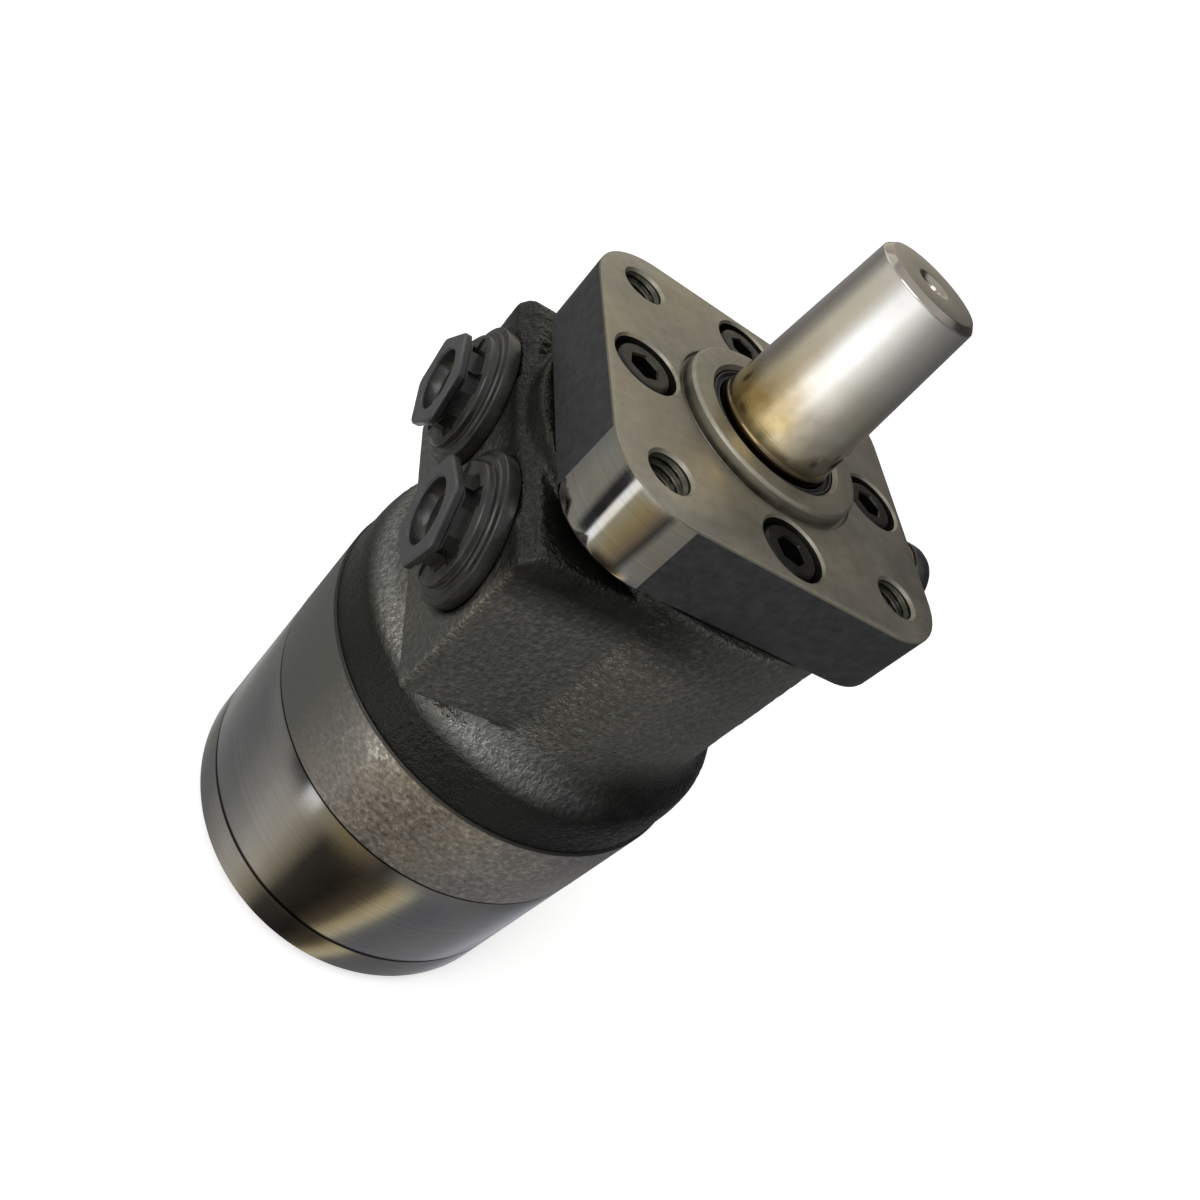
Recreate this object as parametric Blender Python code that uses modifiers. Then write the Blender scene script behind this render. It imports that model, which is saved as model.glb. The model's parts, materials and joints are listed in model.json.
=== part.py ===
"""Orbital (gerotor) hydraulic motor with a square four-bolt flange, built from its separate pieces.

Frame: +Z runs along the output shaft towards the drive end. The origin is the centre of the end
cover's rear face. The two ports face -X and the case drain plug faces +X. Lengths are metres.
"""

import math

import bmesh
import bpy
from mathutils import Matrix, Vector

# ---- driving dimensions -------------------------------------------------------------------------
GAP = 0.0003                      # clearance kept between neighbouring pieces
MERGE = 0.00001                   # weld distance of turned and extruded shapes
BODY_R = 0.0516                   # barrel, stator ring and end cover
COVER_SEAM = 0.0118               # height of the joint between end cover and stator ring
STATOR_SEAM = 0.0515              # height of the joint between stator ring and housing
BARREL_TOP = 0.0800               # top of the turned barrel, with the cast band above it
NECK_R = 0.0436                   # round neck of the housing
NECK_TOP = 0.1508                 # front face of the housing
FLANGE_REAR = NECK_TOP + GAP
FLANGE_FACE = 0.1685
FLANGE_HALF = 0.0411              # half the flange's side
CORNER_R = 0.0165                 # radius of the flange's rounded corners
PILOT_R = 0.0222
PILOT_TOP = FLANGE_FACE + 0.0028
SHAFT_END = 0.2115

# ---- holes and fasteners ------------------------------------------------------------------------
MOUNT_CIRCLE_R = 0.04125          # four threaded mounting holes, 82.5 mm bolt circle
MOUNT_HOLE_R = 0.00476            # 3/8 inch thread
SCREW_CIRCLE_R = 0.0315           # four socket head screws hold the flange
SCREW_HEAD_R = 0.0065
SCREW_HEAD_H = 0.0080
SCREW_SHANK_R = 0.0040
COUNTERBORE_R = 0.0075
COUNTERBORE_FLOOR = FLANGE_FACE - 0.0090
BOLT_COUNT = 7
BOLT_CIRCLE_R = 0.0428
BOLT_SHANK_R = 0.0030             # M6
BOLT_HOLE_R = 0.0033
BOLT_HEAD_FLATS = 0.0100
BOLT_HEAD_H = 0.0040
BOLT_TOP = 0.0680
WASHER_R = 0.0062
WASHER_T = 0.0010
BOLT_SPOT_R = 0.0070              # spot faces that the heads sit in
BOLT_SPOT_DEPTH = 0.0020

# ---- port block ---------------------------------------------------------------------------------
PORT_FACE_X = -0.0450
BLOCK_HALF_Y = 0.0402
BLOCK_BOTTOM = 0.1015
BLOCK_TOP = 0.1475
BLOCK_EDGE = 0.0032               # chamfer between the port face and the block's front
PORT_Y = 0.0203
PORT_Z = 0.1295
PORT_R = 0.0103
PORT_SINK_R = 0.0140
PLUG_COLLAR_R = 0.0162
PORT_SPOT_R = PLUG_COLLAR_R + 0.0004
PORT_SPOT_DEPTH = 0.0005
PLUG_HEAD_FLATS = 0.0205

# ---- gear set: six-lobed rotor orbiting inside seven rollers -------------------------------------
ROLLERS = 7
ROLLER_R = 0.0055
ROLLER_CIRCLE_R = 0.0305
ORBIT_R = 0.0025                  # distance between the rotor's centre and the motor's axis
ROTOR_CLEARANCE = 0.00025
ROTOR_BOTTOM = COVER_SEAM + 0.0004
ROTOR_TOP = STATOR_SEAM - 0.0004

# ---- valve spool, shaft and drive link ----------------------------------------------------------
SPOOL_BORE_R = 0.0220
SPOOL_R = 0.0216
SPOOL_BOTTOM = 0.0583
SPOOL_TOP = 0.1413
JOURNAL_R = 0.0140
SHAFT_BASE_R = 0.0137
SHAFT_TIP_R = 0.01145
GROOVE_A_Z = (0.1140, 0.1200)
GROOVE_B_Z = (0.0640, 0.0700)
LINK_FRONT_Z = 0.1090             # centre of the front spline, on the motor's axis
LINK_REAR_Z = 0.0316              # centre of the rear spline, on the rotor's axis
LINK_SPLINE_HALF = 0.0080
SPLINE_TEETH = 10

# ---- drain and check valves ---------------------------------------------------------------------
DRAIN_Y = -0.0090
DRAIN_Z = 0.1600
DRAIN_DEPTH = 0.0041
DRAIN_HEAD_R = 0.0085
CHECK_CIRCLE_R = 0.0290
CHECK_HOLE_R = 0.0034

ROUND = 48                        # sides of the large turned pieces
MEDIUM = 28
SMALL = 12
SEAL_SIDES = 6                    # sides of an O-ring's section


# ---- building blocks ----------------------------------------------------------------------------
def new_collection(name):
    collection = bpy.data.collections.new(name)
    bpy.context.scene.collection.children.link(collection)
    return collection


def clear_scene():
    for obj in list(bpy.data.objects):
        bpy.data.objects.remove(obj)


def material(name, colour, roughness, metallic):
    made = bpy.data.materials.new(name)
    made.use_nodes = True
    shader = made.node_tree.nodes["Principled BSDF"]
    shader.inputs["Base Color"].default_value = (*colour, 1.0)
    shader.inputs["Roughness"].default_value = roughness
    shader.inputs["Metallic"].default_value = metallic
    made.diffuse_color = (*colour, 1.0)
    return made


def object_from(shape, name):
    """Turn a bmesh into an object with smooth round sides and sharp corners."""
    mesh = bpy.data.meshes.new(name)
    shape.to_mesh(mesh)
    shape.free()
    mesh.shade_smooth()
    mesh.set_sharp_from_angle(angle=math.radians(35))
    return bpy.data.objects.new(name, mesh)


def turned(name, profile, sides=ROUND, ring=False):
    """Revolve a list of (radius, height) points about Z. A ring's profile is a closed loop."""
    shape = bmesh.new()
    points = [shape.verts.new((radius, 0.0, height)) for radius, height in profile]
    for start, end in zip(points, points[1:]):
        shape.edges.new((start, end))
    if ring:
        shape.edges.new((points[-1], points[0]))
    obj = object_from(shape, name)
    screw = obj.modifiers.new("Turn", "SCREW")
    screw.steps = sides
    screw.render_steps = sides
    screw.use_merge_vertices = True
    screw.merge_threshold = MERGE
    screw.use_smooth_shade = True
    return obj


def annulus(name, inner_r, outer_r, bottom, top, sides=MEDIUM):
    profile = [(outer_r, top), (outer_r, bottom), (inner_r, bottom), (inner_r, top)]
    return turned(name, profile, sides, ring=True)


def rods(name, spans, radius, sides=SMALL):
    """One mesh of separate round rods, each between the two points of a span."""
    shape = bmesh.new()
    for start, end in spans:
        along = Vector(end) - Vector(start)
        middle = Matrix.Translation((Vector(start) + Vector(end)) / 2)
        turn = along.to_track_quat("Z", "Y").to_matrix().to_4x4()
        bmesh.ops.create_cone(shape, cap_ends=True, segments=sides, radius1=radius, radius2=radius,
                              depth=along.length, matrix=middle @ turn)
    return object_from(shape, name)


def rod(name, start, end, radius, sides=SMALL):
    return rods(name, [(start, end)], radius, sides)


def boxes(name, sizes_and_places):
    """One mesh of separate boxes, each given by its size and a placing matrix."""
    shape = bmesh.new()
    for size, place in sizes_and_places:
        bmesh.ops.create_cube(shape, size=1.0, matrix=place @ Matrix.Diagonal((*size, 1.0)))
    return object_from(shape, name)


def prism(name, outline, bottom, top):
    """Extrude a flat closed outline between two heights, from a filled 2D curve."""
    curve = bpy.data.curves.new(name, "CURVE")
    curve.dimensions = "2D"
    curve.fill_mode = "BOTH"
    curve.extrude = (top - bottom) / 2
    spline = curve.splines.new("POLY")
    spline.points.add(len(outline) - 1)
    for point, (x, y) in zip(spline.points, outline):
        point.co = (x, y, 0.0, 1.0)
    spline.use_cyclic_u = True
    holder = bpy.data.objects.new(name, curve)
    mesh = bake(holder)
    shape = bmesh.new()
    shape.from_mesh(mesh)
    bmesh.ops.remove_doubles(shape, verts=shape.verts, dist=MERGE)
    bmesh.ops.translate(shape, verts=shape.verts, vec=(0.0, 0.0, (top + bottom) / 2))
    return object_from(shape, name)


def bake(obj, tools=()):
    """Return the object's evaluated mesh and remove the object and its tools."""
    scene_objects = bpy.context.scene.collection.objects
    scene_objects.link(obj)
    bpy.context.view_layer.update()
    evaluated = obj.evaluated_get(bpy.context.evaluated_depsgraph_get())
    mesh = bpy.data.meshes.new_from_object(evaluated)
    bpy.data.objects.remove(obj)
    for tool in tools:
        bpy.data.objects.remove(tool)
    return mesh


def combine(target, operation, tools):
    for tool in tools:
        CUTTERS.objects.link(tool)
        tool.hide_render = True
        tool.display_type = "WIRE"
        modifier = target.modifiers.new(operation.title() + " " + tool.name, "BOOLEAN")
        modifier.operation = operation
        modifier.solver = "EXACT"
        modifier.object = tool


def cut(target, *tools):
    combine(target, "DIFFERENCE", tools)


def join(target, *tools):
    combine(target, "UNION", tools)


def place(obj, surface, parent=None):
    obj.data.materials.clear()
    obj.data.materials.append(surface)
    PARTS.objects.link(obj)
    if parent:
        obj.parent = parent
    return obj


def on_circle(radius, angle, height=0.0):
    return Vector((radius * math.cos(angle), radius * math.sin(angle), height))


def bolt_angles():
    return [(index + 0.5) * math.tau / BOLT_COUNT for index in range(BOLT_COUNT)]


def quarter_angles(offset=0.0):
    return [offset + quarter * math.pi / 2 for quarter in range(4)]


def drills(name, radius, circle_r, angles, bottom, top, sides=SMALL):
    """Upright round cutters on a circle about the motor's axis."""
    spans = [(on_circle(circle_r, angle, bottom), on_circle(circle_r, angle, top)) for angle in angles]
    return rods(name, spans, radius, sides)


# ---- outlines -----------------------------------------------------------------------------------
def flange_outline():
    """A square with rounded corners."""
    steps = 8
    outline = []
    for base in quarter_angles():
        centre = on_circle(math.sqrt(2.0) * (FLANGE_HALF - CORNER_R), base + math.pi / 4)
        for step in range(steps + 1):
            outline.append((centre + on_circle(CORNER_R, base + math.pi / 2 * step / steps)).xy)
    return outline


def rotor_outline(points_per_lobe=16):
    """Six lobes that touch every roller: the rollers' path about the rotor, offset inwards."""
    offset = ROLLER_R + ROTOR_CLEARANCE
    count = points_per_lobe * (ROLLERS - 1)
    outline = []
    for index in range(count):
        turn = math.tau * index / count
        path = on_circle(ROLLER_CIRCLE_R, turn) - on_circle(ORBIT_R, ROLLERS * turn)
        along = on_circle(ROLLER_CIRCLE_R, turn) - on_circle(ROLLERS * ORBIT_R, ROLLERS * turn)
        outline.append((path - along.normalized() * offset).xy)
    return outline


def spline_outline(root_r, tip_r, root_half_deg, tip_half_deg):
    """Straight-sided spline teeth that stand outwards from a round core."""
    corners = [
        (root_r, -root_half_deg), (tip_r, -tip_half_deg), (tip_r, tip_half_deg), (root_r, root_half_deg),
    ]
    outline = []
    for tooth in range(SPLINE_TEETH):
        for radius, offset_deg in corners:
            outline.append(on_circle(radius, math.tau * tooth / SPLINE_TEETH + math.radians(offset_deg)).xy)
    return outline


def outer_spline():
    return spline_outline(0.0094, 0.0108, 9.5, 6.0)


def inner_spline():
    return spline_outline(0.0099, 0.0113, 12.3, 8.8)


# ---- casing -------------------------------------------------------------------------------------
def make_housing():
    """Cast body: barrel, shoulder, round neck and the square block that carries the two ports."""
    band_r = BODY_R - 0.0006
    profile = [
        (0.0, NECK_TOP), (NECK_R, NECK_TOP), (NECK_R, 0.1065), (NECK_R + 0.0007, 0.1015),
        (NECK_R + 0.0024, 0.0980), (NECK_R + 0.0049, 0.0960), (band_r - 0.0010, 0.0940),
        (band_r - 0.0004, 0.0905), (band_r, BARREL_TOP + 0.0005), (BODY_R, BARREL_TOP - 0.0003),
        (BODY_R, STATOR_SEAM + GAP / 2), (0.0, STATOR_SEAM + GAP / 2),
    ]
    housing = turned("housing", profile)
    join(housing, port_block())
    cut(housing, spool_bore(), *oil_passages(), port_hole("upper_port", 1), port_hole("lower_port", -1))
    bottom = STATOR_SEAM - 0.001
    top = BOLT_TOP + 0.003
    bolt_holes = drills("housing_bolt_holes", BOLT_HOLE_R, BOLT_CIRCLE_R, bolt_angles(), bottom, top)
    screw_hole_r = SCREW_SHANK_R + GAP
    screw_holes = drills("housing_screw_holes", screw_hole_r, SCREW_CIRCLE_R, quarter_angles(), 0.1295, 0.152)
    cut(housing, bolt_holes, screw_holes)
    cut(housing, drills("check_holes", CHECK_HOLE_R, CHECK_CIRCLE_R, check_angles(), bottom, 0.0680))
    cut(housing, annulus("front_seal_groove", 0.0243, 0.0266, 0.1488, 0.1520))
    cut(housing, annulus("rear_seal_groove", 0.0369, 0.0388, STATOR_SEAM - 0.001, STATOR_SEAM + 0.0022))
    return place(housing, CAST_IRON)


def port_block():
    size = (-PORT_FACE_X, 2 * BLOCK_HALF_Y, BLOCK_TOP - BLOCK_BOTTOM)
    centre = Matrix.Translation((PORT_FACE_X / 2, 0.0, (BLOCK_TOP + BLOCK_BOTTOM) / 2))
    block = boxes("port_block", [(size, centre)])
    bevel = block.modifiers.new("Cast edges", "BEVEL")
    bevel.width = 0.0015
    bevel.segments = 2
    bevel.limit_method = "ANGLE"
    cut(block, block_front_edge())
    return block


def block_front_edge():
    """Large cube turned 45 degrees, with one face on the chamfer of the block's front edge."""
    side = 0.1200
    outward = Vector((-1.0, 0.0, 1.0)).normalized()
    corner = Vector((PORT_FACE_X, 0.0, BLOCK_TOP))
    centre = corner + outward * (side - math.sqrt(2.0) * BLOCK_EDGE) / 2
    place_at = Matrix.Translation(centre) @ Matrix.Rotation(math.pi / 4, 4, "Y")
    return boxes("block_front_edge", [((side, side, side), place_at)])


def spool_bore():
    profile = [
        (0.0, 0.1600), (SPOOL_BORE_R, 0.1600), (SPOOL_BORE_R, SPOOL_BOTTOM - GAP),
        (0.0165, SPOOL_BOTTOM - GAP), (0.0165, 0.0480), (0.0, 0.0480),
    ]
    return turned("spool_bore", profile, MEDIUM)


def oil_passages():
    """Seven slanted feeds from the spool to the gear set, and the ways from the ports to the spool."""
    feeds = [(on_circle(0.0275, angle, 0.0490), on_circle(0.0208, angle, 0.0930)) for angle in bolt_angles()]
    port_depth = PORT_FACE_X + 0.0150
    lower = GROOVE_B_Z[0] + 0.0030
    upper = GROOVE_A_Z[0] + 0.0030
    way_a = rod("way_a", (port_depth, PORT_Y, PORT_Z), (-0.0120, 0.0120, upper), 0.0045)
    way_b_down = rod("way_b_down", (port_depth, -PORT_Y, PORT_Z), (port_depth, -PORT_Y, lower), 0.0030)
    way_b_in = rod("way_b_in", (port_depth, -PORT_Y, lower), (-0.0130, -0.0095, lower), 0.0026)
    return rods("gear_feeds", feeds, 0.0020, 8), way_a, way_b_down, way_b_in


def port_hole(name, side):
    """A spot-faced, threaded port with a sink for the plug's seal, as one stepped round cutter."""
    profile = [
        (0.0, 0.0010), (PORT_SPOT_R, 0.0010), (PORT_SPOT_R, -PORT_SPOT_DEPTH),
        (PORT_SINK_R, -PORT_SPOT_DEPTH), (PORT_SINK_R, -0.0020), (PORT_R, -0.0020),
        (PORT_R, -0.0160), (0.0, -0.0160),
    ]
    hole = turned(name, profile, 24)
    hole.location = (PORT_FACE_X, side * PORT_Y, PORT_Z)
    hole.rotation_euler = (0.0, -math.pi / 2, 0.0)
    return hole


def make_stator_ring():
    """Steel ring with a half-round pocket for each roller."""
    bottom, top = COVER_SEAM + GAP / 2, STATOR_SEAM - GAP / 2
    inner_r = ROLLER_CIRCLE_R - 0.0002
    ring = annulus("stator_ring", inner_r, BODY_R, bottom, top, ROUND)
    below, above = bottom - 0.001, top + 0.001
    pockets = drills("roller_pockets", ROLLER_R + GAP, ROLLER_CIRCLE_R, roller_angles(), below, above, 20)
    bolt_holes = drills("stator_bolt_holes", BOLT_HOLE_R, BOLT_CIRCLE_R, bolt_angles(), below, above)
    cut(ring, pockets, bolt_holes)
    return place(ring, TURNED_STEEL)


def make_end_cover():
    top = COVER_SEAM - GAP / 2
    edge = 0.0006
    profile = [(0.0, top), (BODY_R, top), (BODY_R, edge), (BODY_R - edge, 0.0), (0.0, 0.0)]
    cover = turned("end_cover", profile)
    cut(cover, drills("cover_bolt_holes", BOLT_HOLE_R, BOLT_CIRCLE_R, bolt_angles(), 0.001, top + 0.001))
    cut(cover, drills("spot_faces", BOLT_SPOT_R, BOLT_CIRCLE_R, bolt_angles(), -0.001, BOLT_SPOT_DEPTH, 24))
    cut(cover, annulus("cover_seal_groove", 0.0369, 0.0388, top - 0.0021, top + 0.001))
    return place(cover, TURNED_STEEL)


def make_mounting_flange():
    """Square plate with the pilot ring, counterbored screw holes and threaded mounting holes."""
    flange = prism("mounting_flange", flange_outline(), FLANGE_REAR, FLANGE_FACE)
    pilot = turned("pilot", [(0.0, PILOT_TOP), (PILOT_R - 0.0005, PILOT_TOP), (PILOT_R, PILOT_TOP - 0.0005),
                             (PILOT_R, FLANGE_FACE - 0.004), (0.0, FLANGE_FACE - 0.004)])
    join(flange, pilot)
    bore = turned("flange_bore", [
        (0.0, 0.1750), (0.0163, 0.1750), (0.0163, FLANGE_FACE - 0.0012), (0.0144, FLANGE_FACE - 0.0012),
        (0.0144, 0.1592), (0.0184, 0.1592), (0.0184, 0.1490), (0.0, 0.1490),
    ], MEDIUM)
    below, above = FLANGE_REAR - 0.001, FLANGE_FACE + 0.001
    floor = COUNTERBORE_FLOOR
    corners, sides = quarter_angles(math.pi / 4), quarter_angles()
    threads = drills("mounting_holes", MOUNT_HOLE_R, MOUNT_CIRCLE_R, corners, below, above, 16)
    shanks = drills("flange_screw_holes", 0.0044, SCREW_CIRCLE_R, sides, below, floor + 0.001)
    heads = drills("counterbores", COUNTERBORE_R, SCREW_CIRCLE_R, sides, floor, above, 18)
    drain_end = (FLANGE_HALF - DRAIN_DEPTH, DRAIN_Y, DRAIN_Z)
    drain = rod("drain_hole", (FLANGE_HALF + 0.001, DRAIN_Y, DRAIN_Z), drain_end, 0.0033)
    cut(flange, bore, threads, shanks, heads, drain)
    return place(flange, PAINTED_IRON)


# ---- rotating group -----------------------------------------------------------------------------
def make_output_shaft():
    """Output shaft and valve spool in one, with the front spline's socket inside."""
    profile = [
        (0.0, SHAFT_END), (SHAFT_TIP_R - 0.0010, SHAFT_END), (SHAFT_TIP_R, SHAFT_END - 0.0010),
        (SHAFT_BASE_R, 0.1722), (JOURNAL_R, 0.1718), (JOURNAL_R, SPOOL_TOP), (SPOOL_R, SPOOL_TOP),
        (SPOOL_R, GROOVE_A_Z[1]), (0.0190, GROOVE_A_Z[1]), (0.0190, GROOVE_A_Z[0]), (SPOOL_R, GROOVE_A_Z[0]),
        (SPOOL_R, GROOVE_B_Z[1]), (0.0190, GROOVE_B_Z[1]), (0.0190, GROOVE_B_Z[0]), (SPOOL_R, GROOVE_B_Z[0]),
        (SPOOL_R, SPOOL_BOTTOM), (0.0128, SPOOL_BOTTOM), (0.0128, 0.0990), (0.0, 0.0990),
    ]
    shaft = turned("output_shaft", profile, 36)
    centre_drill = turned("centre_drill", [(0.0, SHAFT_END + 0.001), (0.0036, SHAFT_END + 0.001),
                                           (0.0010, SHAFT_END - 0.0045), (0.0, SHAFT_END - 0.0045)], 16)
    cut(shaft, prism("front_spline_socket", inner_spline(), 0.0980, 0.1195), valve_slots(), centre_drill)
    return place(shaft, POLISHED_STEEL)


def valve_slots():
    """Twelve slots along the spool, joined in turn to its front and its rear groove."""
    slots = []
    for index in range(2 * (ROLLERS - 1)):
        bottom, top = (0.0830, GROOVE_A_Z[0] + 0.001) if index % 2 else (GROOVE_B_Z[1] - 0.001, 0.1000)
        turn = Matrix.Rotation(index * math.pi / (ROLLERS - 1), 4, "Z")
        shift = Matrix.Translation((0.0210, 0.0, (bottom + top) / 2))
        slots.append(((0.0026, 0.0040, top - bottom), turn @ shift))
    return boxes("valve_slots", slots)


def make_rotor():
    rotor = prism("rotor", rotor_outline(), ROTOR_BOTTOM, ROTOR_TOP)
    rotor.location.x = ORBIT_R
    socket = prism("rotor_spline_socket", inner_spline(), ROTOR_BOTTOM - 0.001, ROTOR_TOP + 0.001)
    socket.location.x = ORBIT_R
    cut(rotor, socket)
    return place(rotor, GROUND_STEEL)


def make_rotor_spacer():
    """Loose disc that keeps the drive link off the end cover; it orbits with the rotor."""
    edge = 0.0005
    bottom, top = ROTOR_BOTTOM + 0.0002, ROTOR_BOTTOM + 0.0032
    spacer = turned("rotor_spacer", [(0.0, top), (0.0088 - edge, top), (0.0088, top - edge),
                                     (0.0088, bottom + edge), (0.0088 - edge, bottom), (0.0, bottom)], 24)
    spacer.location.x = ORBIT_R
    return place(spacer, GROUND_STEEL)


def link_pivot():
    """Empty at the front spline's centre, tilted so that its -Z axis meets the rotor's centre."""
    pivot = bpy.data.objects.new("drive_link_pivot", None)
    pivot.empty_display_size = 0.01
    pivot.location = (0.0, 0.0, LINK_FRONT_Z)
    pivot.rotation_euler = (0.0, -math.atan2(ORBIT_R, LINK_FRONT_Z - LINK_REAR_Z), 0.0)
    PARTS.objects.link(pivot)
    return pivot


def make_drive_link():
    """Dog-bone shaft with a spline at each end, built about the front spline's centre."""
    rear = -math.hypot(ORBIT_R, LINK_FRONT_Z - LINK_REAR_Z)
    tail = rear - LINK_SPLINE_HALF - 0.0070
    waist = 0.0078
    profile = [
        (0.0, LINK_SPLINE_HALF + 0.0006), (0.0070, LINK_SPLINE_HALF + 0.0006),
        (0.0090, LINK_SPLINE_HALF - 0.0004), (0.0090, -LINK_SPLINE_HALF),
        (waist, -LINK_SPLINE_HALF - 0.0020), (waist, rear + LINK_SPLINE_HALF + 0.0020),
        (0.0090, rear + LINK_SPLINE_HALF), (0.0085, rear - LINK_SPLINE_HALF),
        (0.0085, tail + 0.0010), (0.0075, tail), (0.0, tail),
    ]
    link = turned("drive_link", profile, 20)
    front_teeth = prism("front_teeth", outer_spline(), -LINK_SPLINE_HALF, LINK_SPLINE_HALF)
    rear_teeth = prism("rear_teeth", outer_spline(), rear - LINK_SPLINE_HALF, rear + LINK_SPLINE_HALF)
    pivot = link_pivot()
    for teeth in (front_teeth, rear_teeth):
        teeth.parent = pivot
    join(link, front_teeth, rear_teeth)
    return place(link, GROUND_STEEL, pivot)


def roller_angles():
    return [index * math.tau / ROLLERS for index in range(ROLLERS)]


def make_rollers():
    pattern = rod("roller", (0.0, 0.0, ROTOR_BOTTOM), (0.0, 0.0, ROTOR_TOP), ROLLER_R, 18)
    for number, angle in enumerate(roller_angles(), start=1):
        roller = bpy.data.objects.new("roller_%d" % number, pattern.data)
        roller.location = on_circle(ROLLER_CIRCLE_R, angle)
        place(roller, GROUND_STEEL)
    bpy.data.objects.remove(pattern)


def make_thrust_bearing():
    """Two flat races with a needle cage between them, between the spool's shoulder and the flange."""
    place(annulus("thrust_race_rear", 0.0143, 0.0214, 0.1417, 0.1444), GROUND_STEEL)
    cage = annulus("thrust_needle_cage", 0.0150, 0.0210, 0.1448, 0.1475)
    needles = 16
    angles = [index * math.tau / needles for index in range(needles)]
    size = (0.0042, 0.0012, 0.0020)
    shift = Matrix.Translation((0.0180, 0.0, 0.1475))
    windows = [(size, Matrix.Rotation(angle, 4, "Z") @ shift) for angle in angles]
    cut(cage, boxes("cage_windows", windows))
    place(cage, BRASS)
    place(annulus("thrust_race_front", 0.0146, 0.0214, 0.1479, 0.1505), GROUND_STEEL)


# ---- seals --------------------------------------------------------------------------------------
def o_ring(name, centre_r, section_r, place_at, turn=(0.0, 0.0, 0.0), sides=MEDIUM):
    bpy.ops.mesh.primitive_torus_add(major_radius=centre_r, minor_radius=section_r, location=place_at,
                                     rotation=turn, major_segments=sides, minor_segments=SEAL_SIDES)
    ring = bpy.context.object
    ring.name = name
    ring.data.shade_smooth()
    bpy.context.collection.objects.unlink(ring)
    return place(ring, RUBBER)


def make_seals():
    """Static O-rings, the pressure seal round the journal and the outer dust seal."""
    o_ring("flange_o_ring", 0.02545, 0.0009, (0.0, 0.0, 0.1498))
    o_ring("housing_o_ring", 0.03785, 0.0008, (0.0, 0.0, STATOR_SEAM + 0.0011))
    o_ring("cover_o_ring", 0.03785, 0.0008, (0.0, 0.0, COVER_SEAM - 0.0012))
    seal = turned("shaft_seal", [
        (0.0181, 0.1586), (0.0181, 0.1520), (0.0172, 0.1520), (0.0172, 0.1556), (0.0156, 0.1556),
        (0.0150, 0.1530), (0.0144, 0.1530), (0.0143, 0.1545), (0.0148, 0.1586),
    ], MEDIUM, ring=True)
    place(seal, RUBBER)
    dust = turned("dust_seal", [
        (0.0160, PILOT_TOP - 0.0008), (0.0160, 0.1676), (0.0144, 0.1676), (0.0144, PILOT_TOP - 0.0014),
        (0.0150, PILOT_TOP - 0.0014), (0.0154, PILOT_TOP - 0.0008),
    ], MEDIUM, ring=True)
    place(dust, RUBBER)


# ---- fasteners and plugs ------------------------------------------------------------------------
def place_copies(names_and_places, mesh, surface):
    for name, matrix in names_and_places:
        copy = bpy.data.objects.new(name, mesh)
        copy.matrix_world = matrix
        place(copy, surface)


def make_flange_screws():
    """Four socket head cap screws, each drawn with the underside of its head at height zero."""
    screw = turned("flange_screw", [
        (0.0, SCREW_HEAD_H), (SCREW_HEAD_R - 0.0006, SCREW_HEAD_H), (SCREW_HEAD_R, SCREW_HEAD_H - 0.0006),
        (SCREW_HEAD_R, 0.0), (SCREW_SHANK_R, 0.0), (SCREW_SHANK_R, -0.0275), (0.0, -0.0285),
    ], 16)
    socket = rod("hex_socket", (0.0, 0.0, SCREW_HEAD_H - 0.0042), (0.0, 0.0, SCREW_HEAD_H + 0.001), 0.0035, 6)
    cut(screw, socket)
    mesh = bake(screw, [socket])
    seat = COUNTERBORE_FLOOR + GAP
    places = [("flange_screw_%d" % number, Matrix.Translation(on_circle(SCREW_CIRCLE_R, angle, seat)))
              for number, angle in enumerate(quarter_angles(math.pi), start=1)]
    place_copies(places, mesh, BLACK_STEEL)


def make_cover_bolts():
    """Seven hex bolts with washers clamp the cover and the stator ring to the housing."""
    washer_top = BOLT_SPOT_DEPTH - GAP
    head_top = washer_top - WASHER_T - GAP
    bolt = rod("cover_bolt", (0.0, 0.0, head_top - BOLT_HEAD_H / 2), (0.0, 0.0, BOLT_TOP), BOLT_SHANK_R, 14)
    corner_r = BOLT_HEAD_FLATS / math.sqrt(3)
    head = rod("bolt_head", (0.0, 0.0, head_top - BOLT_HEAD_H), (0.0, 0.0, head_top), corner_r, 6)
    join(bolt, head)
    mesh = bake(bolt, [head])
    washer = bake(annulus("washer", BOLT_HOLE_R, WASHER_R, washer_top - WASHER_T, washer_top, 18))
    turns = [(number, Matrix.Rotation(angle, 4, "Z") @ Matrix.Translation((BOLT_CIRCLE_R, 0.0, 0.0)))
             for number, angle in enumerate(bolt_angles(), start=1)]
    place_copies([("cover_bolt_%d" % number, matrix) for number, matrix in turns], mesh, ZINC_STEEL)
    place_copies([("cover_washer_%d" % number, matrix) for number, matrix in turns], washer, ZINC_STEEL)


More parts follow.
